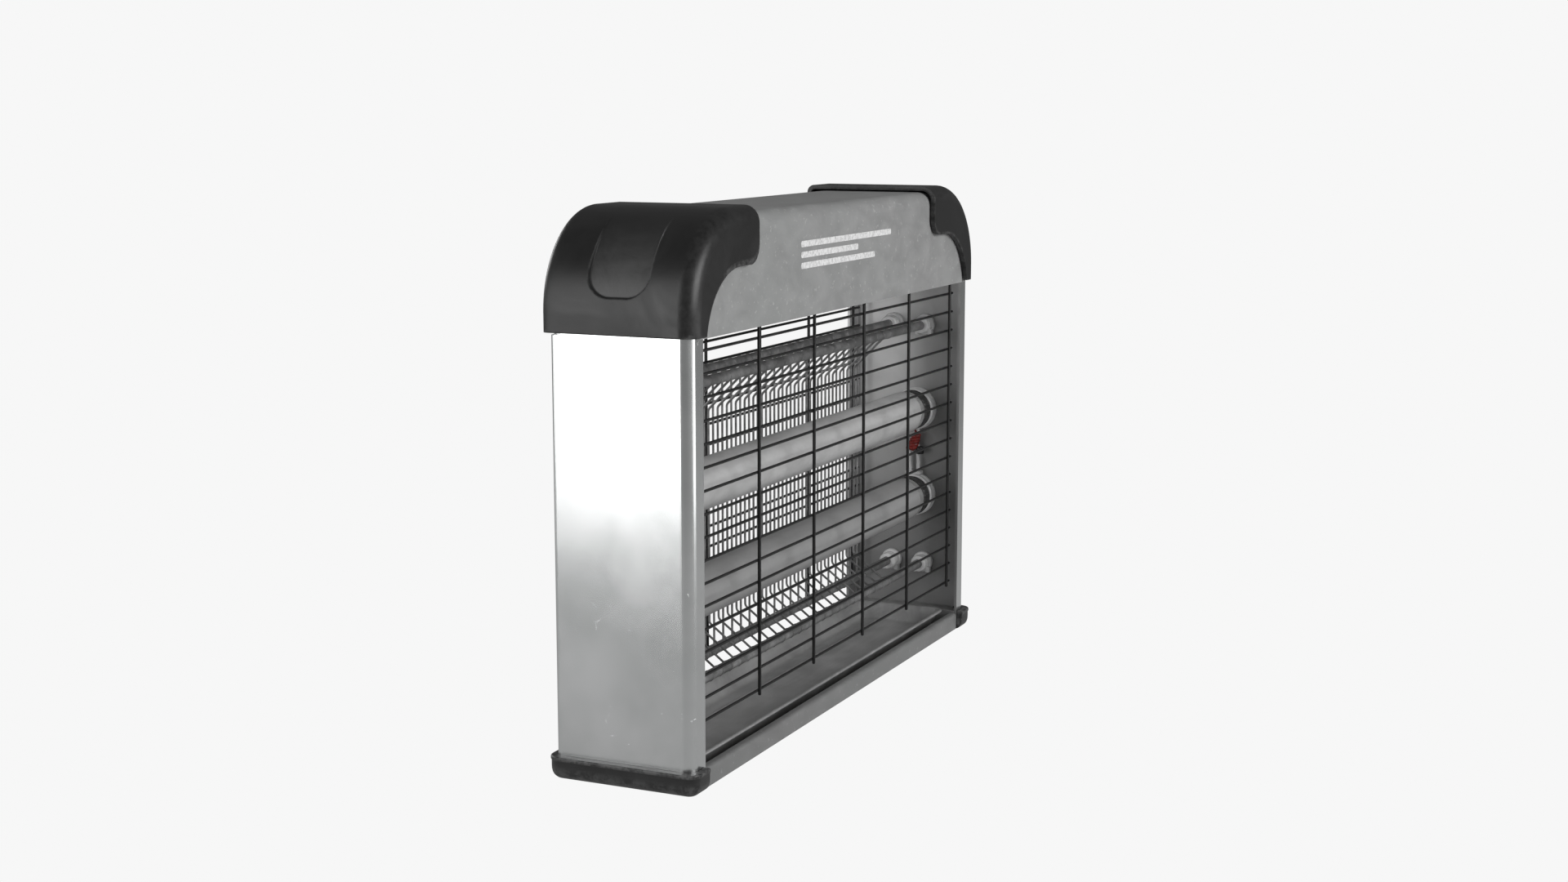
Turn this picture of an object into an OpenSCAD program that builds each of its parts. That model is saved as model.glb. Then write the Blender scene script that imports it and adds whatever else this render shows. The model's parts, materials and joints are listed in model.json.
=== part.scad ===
// Electric bug zapper. A steel hood with the electrics stands on two aluminium end
// profiles. Between them hang two ultraviolet lamps, a charged wire grid behind the
// lamps, a wire guard front and back, and a catch tray that pulls out to the front.
// Origin: centre of the footprint, on the surface the unit stands on. The front
// faces -Y and +Z is up.

/* [Body] */
// Length over the outer faces of the two end profiles
body_l = 380; // [380:1:400]
// Depth of the hood and end profiles, front to back
body_w = 75.5; // [75:0.5:80]
// Height of the hood's top above the floor
hood_top = 277.2; // [275:0.1:280]
// Height of the hood's lower edge above the floor
hood_bottom = 220; // [219:0.5:221]
// Thickness of the hood's steel sheet
hood_t = 1.2; // [0.8:0.1:1.2]
// Radius of the hood's long top edges
hood_edge_r = 8; // [6:0.5:9]

/* [End profiles] */
// How far the profile's front and back flanges reach inwards
flange_w = 13.6; // [13:0.1:14]
// Wall thickness of the profile
profile_t = 1.5; // [1.2:0.1:1.5]
// Radius of the profile's front outer corners
profile_r = 6; // [4:0.5:8]
// Radius of the profile's rear outer corners
profile_rear_r = 2.5; // [2:0.5:6]

/* [End caps] */
// How far the caps stand beyond the body's ends
cap_over = 3; // [3:0.1:3.2]
// How far the caps stand proud of the hood's front and back
cap_proud = 3.4; // [3.2:0.1:3.6]
// Radius of the cap's big quarter round
cap_r = 50; // [49:0.5:51]
// Wall thickness of the caps
cap_t = 2.5; // [2:0.1:2.6]
// Distance from the body's end to the edge of the cap's lobe
lobe_l = 69; // [66:1:72]
// Width of the shallow finger recess in the cap's end
recess_w = 33; // [28:1:36]

/* [Guards] */
// Number of level wires in one guard
guard_rows = 17; // [12:1:17]
// Distance between the level wires
guard_pitch = 11.4; // [11:0.1:11.4]
// Radius of the upright guard wires
upright_r = 0.9; // [0.7:0.05:1]
// Radius of the level guard wires
level_r = 0.75; // [0.6:0.05:0.8]

/* [Lamps] */
// Radius of the glass tubes
tube_r = 13; // [12.5:0.5:13]
// Length of one lamp over its metal end caps
lamp_l = 345; // [343:1:345]
// Height of the upper lamp's centre line
upper_lamp_z = 138.3; // [136:0.1:140]
// Height of the lower lamp's centre line
lower_lamp_z = 83.2; // [80:0.1:85]

/* [Charged grid] */
// Number of wires in each of the two interleaved sets
grid_wires = 24; // [16:1:24]
// Distance between neighbouring grid wires
grid_pitch = 5.5; // [5:0.1:5.6]
// Radius of the grid wires
grid_r = 0.6; // [0.5:0.05:0.7]
// Radius of the four rails that carry the wires
rail_r = 2.8; // [2.5:0.1:3]

/* [Catch tray] */
// Height of the tray's rim above the floor
tray_rim_z = 13.4; // [12:0.1:14]
// Sheet thickness of the tray pan
tray_t = 0.8; // [0.6:0.1:0.8]

/* [Hidden] */
$fn = 48;
eps = 0.01;

half_l = body_l / 2;
half_w = body_w / 2;
web_x = half_l - profile_t;

foot_over = 4.4;
foot_proud = 3.75;
foot_h = 11.8;
foot_floor = 2;
foot_gap = 0.2;
foot_inner_x = half_l - 12;

cap_top = hood_top + 3.4;
cap_bottom = hood_bottom + 1.3;
cap_cx = half_l + cap_over - cap_r;
cap_cz = cap_top - cap_r;
cap_w = body_w + 2 * cap_proud;
cap_edge_r = 8.5;
scoop_r = 37.8;
scoop_cx = half_l - 48.3;
scoop_cz = 214.2;
lobe_r = 10;
corner_top = cap_bottom + 2.7;
tongue_top = cap_cz + 3.4;

deck_z = hood_bottom + 1.5;
deck_t = 1.2;
deck_top = deck_z + deck_t;
deck_tab_h = 12;
deck_tab_half_w = 15;

hood_end_x = half_l - profile_r - 0.5;
hood_arc_r = cap_r - 8;

guard_y = half_w - 6;
guard_x_step = 68.9;
guard_top_z = 213;
guard_low_z = guard_top_z - (guard_rows - 1) * guard_pitch;
guard_half_l = half_l - 10;
guard_weld = 1.1;

lamp_y = -5;
base_l = 7.5;
glass_t = 0.8;
rotor_r = 12.4;
rotor_l = 8.4;
spigot_r = 4;
spigot_l = 6;
run_gap = 0.05;
rotor_end_gap = 0.3;
pin_r = 1.2;
pin_l = 7;
pin_spread = 6.35;
holder_r = 13.4;
lamp_half = lamp_l / 2;
rotor_x = lamp_half + rotor_l;
holder_x = rotor_x + rotor_end_gap;

link_x = web_x - 4;
link_spread = 2.6;
link_z0 = lower_lamp_z + holder_r;
link_z1 = upper_lamp_z - holder_r;
link_clip_h = 2;
link_lead_l = 13;
choke_l = 8;
sleeve_l = 5;
sleeve_drop = 2;
sleeve_z = link_z0 + link_clip_h + link_lead_l - sleeve_drop;

rail_y_front = -10.4;
rail_y_back = 11;
rail_z_top = 191.9;
rail_z_bottom = 39.5;
bend_z_top = 170.5;
bend_z_bottom = 55.4;
rail_half_l = half_l - 7;
lead_r = 1.2;
insulator_l = 10;
insulator_r = 5.2;
insulator_bore = 5;
RAIL_ENDS = [[rail_y_front, rail_z_top], [rail_y_back, rail_z_top],
             [rail_y_front, rail_z_bottom], [rail_y_back, rail_z_bottom]];

fence_x = half_l - flange_w - 0.2;
runner_t = 1.2;
shelf_top = 2.6;
shelf_w = 8.6;
tray_gap = 0.1;
tray_bottom = shelf_top + tray_gap;
tray_half_l = fence_x - 0.8;
tray_slope = 7.6;
tray_y_front = -30.4;
tray_y_back = 30;
tray_lip = 1.4;
strip_t = 1.2;
strip_half_l = fence_x - 0.4;
strip_z0 = 0.6;
strip_top = 10.6;
strip_d = 4.7;
strip_tongue_half_l = tray_half_l - tray_slope - 1;

gland_x = 120;
gland_z = 246;
gland_bore_r = 3.6;
gland_neck_r = 6;
gland_flange_r = 8.5;
switch_x = 85;
switch_z = 248;
switch_open = [10.4, 16.4];
switch_wall = 1.1;
rocker_r = 7.6;
rocker_y = half_w - 4.2;
rocker_pin_r = 1;
rocker_tilt = 10;
screw_r = 1.5;
screw_head_r = 3;
cap_screw_z = 264;
CAP_SCREW_X = [half_l - 60, half_l - 38];

board_x = -145;
board_size = [54, 48, 1.6];
board_z = deck_top + 5;
ballast_x = -53;
transformer_x = 36;
STARTER_X = [83, 110];
starter_r = 10.75;
starter_l = 32;
socket_h = 9;
starter_y = -20;
block_x = 115;
block_y = 8;
mains_lead_r = 1.1;
hv_lead_r = 1.4;
hv_lead_x = -165;

// ---- shared shapes ----

// A child drawn for the left end, moved to the right end
module at_right() {
    mirror([1, 0, 0]) children();
}

// A child drawn for the left end, at both ends
module at_both_ends() {
    children();
    at_right() children();
}

// Centred rectangle with round corners
module rounded_rect(x, y, r) {
    square([x - 2 * r, y], center = true);
    square([x, y - 2 * r], center = true);
    for (i = [-1, 1], j = [-1, 1])
        translate([i * (x / 2 - r), j * (y / 2 - r)]) circle(r = r);
}

// Outline with a flat base on the first axis and two round top corners
module arch(w, h, r) {
    translate([-w / 2, 0]) square([w, h - r]);
    translate([-w / 2 + r, 0]) square([w - 2 * r, h]);
    for (s = [-1, 1]) translate([s * (w / 2 - r), h - r]) circle(r = r);
}

// Extrudes an outline drawn in Y and Z along +X
module along_x(l) {
    rotate([90, 0, 90]) linear_extrude(l) children();
}

// Extrudes an outline drawn in X and Z along Y, centred on the XZ plane
module along_y(w) {
    translate([0, w / 2, 0]) rotate([90, 0, 0]) linear_extrude(w) children();
}

// A cylinder along +X that starts at p
module rod_x(p, l, r) {
    translate(p) rotate([0, 90, 0]) cylinder(h = l, r = r);
}

// A cylinder along +Y that starts at p
module rod_y(p, l, r) {
    translate(p) rotate([-90, 0, 0]) cylinder(h = l, r = r);
}

// A cuboid between its lowest and highest corners
module box(a, b) {
    translate(a) cube(b - a);
}

// A round bar from a to b
module bar(a, b, r) {
    d = b - a;
    turn = atan2(d[1], d[0]);
    tip = acos(d[2] / norm(d));
    translate(a) rotate([0, tip, turn]) cylinder(h = norm(d), r = r);
}

// A round wire through the points, with ball corners
module wire(points, r) {
    for (i = [0 : len(points) - 2]) bar(points[i], points[i + 1], r);
    for (i = [1 : len(points) - 2]) translate(points[i]) sphere(r = r);
}

// ---- body ----

// Centred rectangle whose front corners and rear corners are rounded differently
module two_radius_rect(x, y, front_r, rear_r) {
    hull() for (i = [-1, 1]) {
        translate([i * (x / 2 - front_r), front_r - y / 2]) circle(r = front_r);
        translate([i * (x / 2 - rear_r), y / 2 - rear_r]) circle(r = rear_r);
    }
}

// Section of one end profile: a channel open to the inside, with round outer corners.
// Inside the cap both corners have the front's radius, to fit the cap's round inner corners.
module profile_section(rear_r) {
    difference() {
        intersection() {
            translate([-half_l + flange_w, 0])
                two_radius_rect(2 * flange_w, body_w, profile_r, rear_r);
            translate([-half_l, -half_w]) square([flange_w, body_w]);
        }
        translate([-half_l + flange_w, 0])
            two_radius_rect(2 * (flange_w - profile_t), body_w - 2 * profile_t,
                            profile_r - profile_t, rear_r - profile_t);
    }
}

module end_profile() {
    color("gainsboro") difference() {
        union() {
            translate([0, 0, foot_floor])
                linear_extrude(hood_bottom - foot_floor) profile_section(profile_rear_r);
            intersection() {
                translate([0, 0, hood_bottom - eps])
                    linear_extrude(corner_top - hood_bottom) profile_section(profile_r);
                box([-half_l, -half_w, hood_bottom - 1],
                    [-half_l + profile_r, half_w, corner_top]);
            }
            box([-half_l, -31, hood_bottom - 1], [-web_x, 31, tongue_top]);
        }
        for (s = [-1, 1])
            rod_x([-half_l - 1, s * 10, deck_top + 7], profile_t + 2, screw_r + run_gap);
    }
}

module end_profile_left() {
    end_profile();
}

module end_profile_right() {
    at_right() end_profile();
}

// Openings in the hood's back wall for the gland, the switch and the cap screws
module hood_openings() {
    rod_y([gland_x, half_w - 5, gland_z], 10, gland_neck_r + 0.1);
    switch_half = [switch_open[0] / 2 + switch_wall + 0.1, switch_open[1] / 2 + switch_wall + 0.1];
    box([switch_x - switch_half[0], half_w - 5, switch_z - switch_half[1]],
        [switch_x + switch_half[0], half_w + 5, switch_z + switch_half[1]]);
    for (x = CAP_SCREW_X, s = [-1, 1])
        rod_y([s * x, half_w - 5, cap_screw_z], 10, screw_r + 0.2);
}

module hood() {
    h = hood_top - hood_bottom;
    color("#8e9190") difference() {
        intersection() {
            translate([-hood_end_x, 0, hood_bottom]) along_x(2 * hood_end_x) difference() {
                arch(body_w, h, hood_edge_r);
                translate([0, -eps])
                    arch(body_w - 2 * hood_t, h - hood_t + eps, hood_edge_r - hood_t);
            }
            translate([0, 0, hood_bottom]) along_y(body_w + 2) arch(2 * hood_end_x, h, hood_arc_r);
        }
        hood_openings();
    }
}

// Flat plate across the foot of the hood, with a screwed tab at each end
module deck_plate() {
    tab_x = web_x - 0.1;
    deck_half_l = half_l - profile_r - 1;
    deck_half_w = half_w - hood_t - 0.15;
    color("#9a9d9c") difference() {
        union() {
            box([-deck_half_l, -deck_half_w, deck_z], [deck_half_l, deck_half_w, deck_top]);
            box([-tab_x, -deck_tab_half_w, deck_z], [tab_x, deck_tab_half_w, deck_top]);
            at_both_ends() box([-tab_x, -deck_tab_half_w, deck_z],
                               [-tab_x + deck_t, deck_tab_half_w, deck_top + deck_tab_h]);
        }
        for (s = [-1, 1]) at_both_ends()
            rod_x([-tab_x - 1, s * 10, deck_top + 7], deck_t + 2, screw_r + run_gap);
        for (y = [rail_y_front, rail_y_back])
            translate([hv_lead_x, y, deck_z - 1]) cylinder(h = deck_t + 2, r = hv_lead_r + 0.6);
    }
}

module deck_screws() {
    x = web_x - 0.1 - deck_t;
    color("silver") for (s = [-1, 1]) at_both_ends() {
        rod_x([-half_l + 0.1, s * 10, deck_top + 7], half_l - x, screw_r);
        rod_x([-x, s * 10, deck_top + 7], 1.8, screw_head_r);
    }
}

// ---- end caps ----

// Section of the cap's wall: across the body, and outwards from the quarter round's axis
module cap_section() {
    difference() {
        arch(cap_w, cap_r, cap_edge_r);
        translate([0, -eps]) arch(cap_w - 2 * cap_t, cap_r - cap_t + eps, cap_edge_r - cap_t);
    }
}

// Quarter round of a section about a level axis, from straight up to the left
module quarter_round() {
    rotate([90, 0, 0]) rotate([0, 0, 90]) rotate_extrude(angle = 90) rotate(-90) children();
}

// The cap's shell before its sides are cut to shape
module cap_shell() {
    translate([-cap_cx, 0, cap_cz]) {
        quarter_round() cap_section();
        along_x(cap_cx - half_l + lobe_l) cap_section();
        mirror([0, 0, 1]) rotate([0, -90, 0]) along_x(cap_cz - cap_bottom) cap_section();
    }
}

// What is cut from the cap's sides, in X and Z: a round scoop under a round-nosed lobe
module scoop() {
    edge_x = -half_l + lobe_l;
    lobe_z = scoop_cz + scoop_r;
    translate([-scoop_cx, scoop_cz]) circle(r = scoop_r);
    translate([-scoop_cx, scoop_cz - scoop_r]) square([80, 2 * scoop_r]);
    difference() {
        translate([edge_x - lobe_r, lobe_z - 1]) square([lobe_r + 1, lobe_r + 1]);
        translate([edge_x - lobe_r, lobe_z + lobe_r]) circle(r = lobe_r);
    }
}

// Shallow finger recess that follows the cap's quarter round
module cap_recess() {
    depth = 1.5;
    corner_r = 12;
    bottom_z = 239;
    intersection() {
        translate([-cap_cx, 0, cap_cz]) quarter_round()
            translate([-recess_w / 2, cap_r - depth]) square([recess_w, depth + 2]);
        translate([-half_l - 10, 0, 0]) along_x(40) {
            translate([-recess_w / 2, bottom_z + corner_r]) square([recess_w, 26]);
            translate([-recess_w / 2 + corner_r, bottom_z])
                square([recess_w - 2 * corner_r, corner_r + 1]);
            for (s = [-1, 1])
                translate([s * (recess_w / 2 - corner_r), bottom_z + corner_r])
                    circle(r = corner_r);
        }
    }
}

module end_cap() {
    color("#2b2b2b") difference() {
        cap_shell();
        along_y(cap_w + 2) scoop();
        cap_recess();
        for (x = CAP_SCREW_X) {
            rod_y([-x, half_w, cap_screw_z], 10, screw_r + 0.3);
            rod_y([-x, half_w + cap_proud - 1.2, cap_screw_z], 10, screw_head_r + 0.2);
        }
    }
}

module end_cap_left() {
    end_cap();
}

module end_cap_right() {
    at_right() end_cap();
}

module cap_screws() {
    head_y = half_w + cap_proud - 1.2;
    color("dimgray") for (x = CAP_SCREW_X) at_both_ends() difference() {
        union() {
            rod_y([-x, head_y - 9, cap_screw_z], 9, screw_r);
            rod_y([-x, head_y, cap_screw_z], 1.1, screw_head_r);
        }
        translate([-x, head_y + 1.2, cap_screw_z]) cube([3.6, 1.2, 0.8], center = true);
        translate([-x, head_y + 1.2, cap_screw_z]) cube([0.8, 1.2, 3.6], center = true);
    }
}

// ---- feet ----

module foot() {
    l = half_l + foot_over - foot_inner_x;
    color("#1d1d1d") difference() {
        translate([-foot_inner_x, 0, 0]) linear_extrude(foot_h) intersection() {
            rounded_rect(2 * l, body_w + 2 * foot_proud, 7);
            translate([-l, -half_w - foot_proud]) square([l, body_w + 2 * foot_proud]);
        }
        box([-half_l - foot_gap, -half_w - foot_gap, foot_floor],
            [-foot_inner_x + 1, half_w + foot_gap, foot_h + 1]);
    }
}

module foot_left() {
    foot();
}

module foot_right() {
    at_right() foot();
}

// ---- guards ----

module guard() {
    foot_z = guard_low_z - 2.6;
    color("#161616") {
        for (i = [-2.5 : 1 : 2.5])
            translate([i * guard_x_step, -guard_y - guard_weld / 2, foot_z])
                cylinder(h = deck_z - foot_z, r = upright_r);
        for (i = [0 : guard_rows - 1])
            rod_x([-guard_half_l, -guard_y + guard_weld / 2, guard_top_z - i * guard_pitch],
                  2 * guard_half_l, level_r);
    }
}

module guard_front() {
    guard();
}

module guard_back() {
    mirror([0, 1, 0]) guard();
}

// ---- charged grid ----

module rail(y, z) {
    color("#6c6e6e") rod_x([-rail_half_l, y, z], 2 * rail_half_l, rail_r);
}

module rail_front_top() {
    rail(rail_y_front, rail_z_top);
}

module rail_front_bottom() {
    rail(rail_y_front, rail_z_bottom);
}

module rail_back_top() {
    rail(rail_y_back, rail_z_top);
}

module rail_back_bottom() {
    rail(rail_y_back, rail_z_bottom);
}

// Place along the body of wire i of the two sets together
function grid_x(i) = (i - grid_wires + 0.5) * grid_pitch;

// Unit vector along v, and v turned a quarter turn
function unit(v) = v / norm(v);
function turned(v) = [-v[1], v[0]];

// Direction and length of the corner offset where the path a, b, c turns
function mitre(a, b, c) =
    let (m = turned(unit(b - a)), n = turned(unit(c - b))) (m + n) / (1 + m * n);

// One side of a four-point path, h away from it
function side_line(p, h) = [p[0] + h * turned(unit(p[1] - p[0])), p[1] + h * mitre(p[0], p[1], p[2]),
                            p[2] + h * mitre(p[1], p[2], p[3]), p[3] + h * turned(unit(p[3] - p[2]))];
function reversed(p) = [for (i = [len(p) - 1 : -1 : 0]) p[i]];

// Set on the front rails: the wires lean back behind the lamps and forwards again
module grid_wires_front() {
    path = [[rail_y_front, rail_z_top], [rail_y_back, bend_z_top],
            [rail_y_back, bend_z_bottom], [rail_y_front, rail_z_bottom]];
    outline = concat(side_line(path, grid_r), reversed(side_line(path, -grid_r)));
    color("#8b8d8d") for (i = [0 : grid_wires - 1])
        translate([grid_x(2 * i) - grid_r, 0, 0]) along_x(2 * grid_r) polygon(outline);
}

// Set on the back rails: straight wires between the others
module grid_wires_back() {
    color("#8b8d8d") for (i = [0 : grid_wires - 1])
        bar([grid_x(2 * i + 1), rail_y_back, rail_z_bottom],
            [grid_x(2 * i + 1), rail_y_back, rail_z_top], grid_r);
}

// Stand-offs that hold the rails' ends in blind bores
module insulators() {
    color("#d9d9d4") for (e = RAIL_ENDS) difference() {
        union() {
            rod_x([-web_x, e[0], e[1]], insulator_l, insulator_r);
            rod_x([-web_x, e[0], e[1]], 2.5, insulator_r + 1.3);
        }
        rod_x([-web_x + insulator_l - insulator_bore, e[0], e[1]],
              insulator_bore + 1, rail_r + run_gap);
    }
}

module insulators_left() {
    insulators();
}

module insulators_right() {
    at_right() insulators();
}

// ---- lamps ----

// Fixed half of a lamp holder: a round base on the profile and the spigot its rotor turns on
module holder(z) {
    color("#c9c9c6") {
        rod_x([-web_x, lamp_y, z], web_x - holder_x, holder_r);
        rod_x([-holder_x - eps, lamp_y, z], spigot_l + eps, spigot_r);
    }
}

module holder_upper_left() {
    holder(upper_lamp_z);
}

module holder_upper_right() {
    at_right() holder(upper_lamp_z);
}

module holder_lower_left() {
    holder(lower_lamp_z);
}

module holder_lower_right() {
    at_right() holder(lower_lamp_z);
}

module lamp_glass(z) {
    l = lamp_l - 2 * base_l;
    color("#b9bcbd") difference() {
        rod_x([-l / 2, lamp_y, z], l, tube_r);
        rod_x([-l / 2 - 1, lamp_y, z], l + 2, tube_r - glass_t);
    }
}

module lamp_bases(z) {
    color("silver") at_both_ends() rod_x([-lamp_half, lamp_y, z], base_l, tube_r);
}

module lamp_pins(z) {
    color("gold") at_both_ends() for (s = [-1, 1])
        rod_x([-lamp_half - pin_l, lamp_y, z + s * pin_spread], pin_l, pin_r);
}

// Turning halves of the holders: they grip the pins and turn with the lamp
module lamp_rotors(z) {
    color("#3c3d3d") at_both_ends() difference() {
        rod_x([-rotor_x, lamp_y, z], rotor_l, rotor_r);
        rod_x([-rotor_x - 1, lamp_y, z], spigot_l + 1.2, spigot_r + run_gap);
        for (s = [-1, 1])
            rod_x([-lamp_half - pin_l - 0.2, lamp_y, z + s * pin_spread],
                  pin_l + 1, pin_r + run_gap);
    }
}

module upper_lamp_glass() {
    lamp_glass(upper_lamp_z);
}

module upper_lamp_bases() {
    lamp_bases(upper_lamp_z);
}

module upper_lamp_pins() {
    lamp_pins(upper_lamp_z);
}

module upper_lamp_rotors() {
    lamp_rotors(upper_lamp_z);
}

module lower_lamp_glass() {
    lamp_glass(lower_lamp_z);
}

module lower_lamp_bases() {
    lamp_bases(lower_lamp_z);
}

module lower_lamp_pins() {
    lamp_pins(lower_lamp_z);
}

module lower_lamp_rotors() {
    lamp_rotors(lower_lamp_z);
}

// ---- link between the two right-hand holders ----

// Two white leads that stand on a clip over the lower holder; the front one goes on above its joint
module link_leads() {
    color("whitesmoke") {
        box([link_x - 2.5, lamp_y - 5, link_z0 - 0.4],
            [link_x + 3.5, lamp_y + 5, link_z0 + link_clip_h]);
        translate([link_x, lamp_y + link_spread, link_z0 + link_clip_h - eps])
            cylinder(h = link_lead_l, r = lead_r);
        translate([link_x, lamp_y - link_spread, link_z0 + link_clip_h - eps])
            cylinder(h = link_lead_l - sleeve_drop, r = lead_r);
        translate([link_x, lamp_y - link_spread, sleeve_z + sleeve_l])
            cylinder(h = link_z1 - sleeve_z - sleeve_l + 1, r = lead_r);
    }
}

// Small wound choke on the back lead, with its stem up to the upper holder
module link_choke() {
    z = link_z0 + link_clip_h + link_lead_l;
    stem_z = z + choke_l - eps;
    color("firebrick") {
        translate([link_x, lamp_y + link_spread, z]) cylinder(h = choke_l, r = 2.5);
        translate([link_x, lamp_y + link_spread, stem_z])
            cylinder(h = link_z1 - stem_z + 1, r = 1.1);
    }
}

// Black sleeve over the front lead's joint
module link_sleeve() {
    color("#111111") translate([link_x, lamp_y - link_spread, sleeve_z])
        cylinder(h = sleeve_l, r = 2.2);
}

// ---- catch tray ----

// Solid with four sloping sides: an outline across the body cut by one along it
module tray_solid(grow, z0, z1) {
    run = tray_slope;
    intersection() {
        translate([-half_l, 0, 0]) along_x(body_l)
            polygon([[tray_y_front + run - grow, z0], [tray_y_back - run + grow, z0],
                     [tray_y_back + grow, z1], [tray_y_front - grow, z1]]);
        along_y(body_w)
            polygon([[-tray_half_l + run - grow, z0], [tray_half_l - run + grow, z0],
                     [tray_half_l + grow, z1], [-tray_half_l - grow, z1]]);
    }
}

module tray_pan() {
    color("#6a6c6c") difference() {
        union() {
            tray_solid(-tray_lip, tray_bottom, tray_rim_z);
            box([-tray_half_l, tray_y_front, tray_rim_z - tray_t],
                [tray_half_l, tray_y_back, tray_rim_z]);
        }
        tray_solid(-tray_lip - tray_t, tray_bottom + tray_t, tray_rim_z + eps);
    }
}

// Folded sill: a wall, a top and nothing else
module sill(half) {
    box([-half, -half_w, strip_z0], [half, -half_w + strip_t, strip_top]);
    box([-half, -half_w, strip_top - strip_t], [half, -half_w + strip_d, strip_top]);
}

// Front of the tray, level with the end profiles, on a tongue under the pan
module tray_front_strip() {
    color("#8e9190") {
        sill(strip_half_l);
        box([-strip_tongue_half_l, -half_w, tray_bottom - strip_t],
            [strip_tongue_half_l, tray_y_front + tray_slope + 6, tray_bottom]);
    }
}

module tray_rivets() {
    z0 = tray_bottom - strip_t - 0.6;
    color("silver") for (x = [-110, 0, 110])
        translate([x, tray_y_front + tray_slope + 3.5, z0]) cylinder(h = 0.6, r = 2.4);
}

module back_sill() {
    color("#8e9190") mirror([0, 1, 0]) sill(fence_x);
}

// Folded bracket in each profile: a cover, a side fence and the shelf the tray slides on
module tray_runner() {
    d = half_w - profile_t - 0.2;
    corner = profile_r - profile_t;
    color("#7d7f7f") {
        box([-web_x, corner - d, foot_h - runner_t], [-fence_x, d - corner, foot_h]);
        box([corner - web_x, -d, foot_h - runner_t], [-fence_x, d, foot_h]);
        box([-fence_x - runner_t, -d, shelf_top - runner_t], [-fence_x, d, foot_h]);
        box([-fence_x - runner_t, -d, shelf_top - runner_t], [-fence_x + shelf_w, d, shelf_top]);
    }
}

module tray_runner_left() {
    tray_runner();
}

module tray_runner_right() {
    at_right() tray_runner();
}

// ---- electrics on the deck plate ----

// Iron-cored lamp ballast on its foot plate
module ballast() {
    color("#50535a") translate([ballast_x, 0, deck_top]) {
        difference() {
            box([-54, -20, 0], [54, 20, 1.5]);
            for (s = [-1, 1]) translate([s * 49, 0, -1]) cylinder(h = 4, r = 2.2);
        }
        box([-42, -19, 1.4], [42, 19, 27]);
        box([-44, -14, 6], [44, 14, 22]);
    }
}

// Step-up transformer: a laminated core with its winding
module hv_transformer() {
    color("#7a5230") translate([transformer_x, 0, deck_top]) {
        box([-9, -21, 0], [9, 21, 36]);
        box([-18, -13, 6], [18, 13, 30]);
    }
}

module hv_board() {
    half = board_size / 2;
    color("seagreen") translate([board_x, 0, board_z]) {
        box([-half[0], -half[1], 0], [half[0], half[1], board_size[2]]);
        for (i = [-1, 1], j = [-1, 1])
            translate([i * (half[0] - 4), j * (half[1] - 4), deck_top - board_z])
                cylinder(h = board_z - deck_top + eps, r = 2.5);
    }
}

module hv_capacitors() {
    top = board_z + board_size[2];
    color("chocolate") for (i = [-1, 0, 1])
        box([board_x + i * 15 - 5, -14, top], [board_x + i * 15 + 5, 10, top + 10]);
}

module starters() {
    color("white") for (x = STARTER_X) {
        translate([x, starter_y, deck_top + socket_h]) cylinder(h = starter_l, r = starter_r);
        translate([x, starter_y, deck_top + socket_h + starter_l - eps]) cylinder(h = 2, r = 5);
    }
}

module starter_sockets() {
    color("gainsboro") for (x = STARTER_X)
        translate([x, starter_y, deck_top]) cylinder(h = socket_h, r = starter_r + 1.75);
}

// Three-way screw terminal block
module terminal_block() {
    color("ivory") translate([block_x, block_y, deck_top]) difference() {
        union() {
            box([-14, -8, 0], [14, 8, 8]);
            for (i = [-1, 0, 1]) box([i * 9 - 4, -5, 7.9], [i * 9 + 4, 5, 14]);
        }
        for (i = [-1, 0, 1]) translate([i * 9, 0, 6]) cylinder(h = 9, r = 2);
    }
}

// Leads between the terminal block, the switch, the ballast and the transformer
module mains_leads() {
    z = deck_top + 3;
    color("#30507a") {
        wire([[block_x - 14, block_y + 2, z], [switch_x, block_y + 2, z],
              [switch_x, 18, z + 8], [switch_x, 18, switch_z]], mains_lead_r);
        wire([[block_x - 14, block_y - 4, z], [62, block_y - 4, z], [62, 26, z],
              [ballast_x + 60, 26, z], [ballast_x + 60, 10, z], [ballast_x + 54, 10, z]],
             mains_lead_r);
    }
}

// Leads from the two left-hand holders, up the profile and past the deck plate
module lamp_leads() {
    x = -web_x + 4;
    color("whitesmoke") for (i = [0, 1]) {
        z = [lower_lamp_z, upper_lamp_z][i];
        y = [23.4, 20.6][i];
        wire([[x, lamp_y + holder_r - 0.5, z], [x, y, z], [x, y, deck_top + 3],
              [x + 12, y, deck_top + 3]], lead_r);
    }
}

// Sleeved leads from the board to the two upper rails
module hv_leads() {
    color("crimson") for (y = [rail_y_front, rail_y_back])
        bar([hv_lead_x, y, rail_z_top + rail_r - 0.2], [hv_lead_x, y, board_z], hv_lead_r);
}

// ---- cord entry and switch in the hood's back wall ----

module cable_gland() {
    color("#222222") difference() {
        union() {
            rod_y([gland_x, half_w, gland_z], cap_proud, gland_flange_r);
            rod_y([gland_x, half_w - 9, gland_z], 9 + eps, gland_neck_r);
        }
        rod_y([gland_x, half_w - 10, gland_z], 20, gland_bore_r);
    }
}

module gland_nut() {
    color("#333333") difference() {
        translate([gland_x, half_w - hood_t - 4, gland_z])
            rotate([-90, 0, 0]) cylinder(h = 4, r = 9, $fn = 6);
        rod_y([gland_x, half_w - 10, gland_z], 12, gland_neck_r + run_gap);
    }
}

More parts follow.
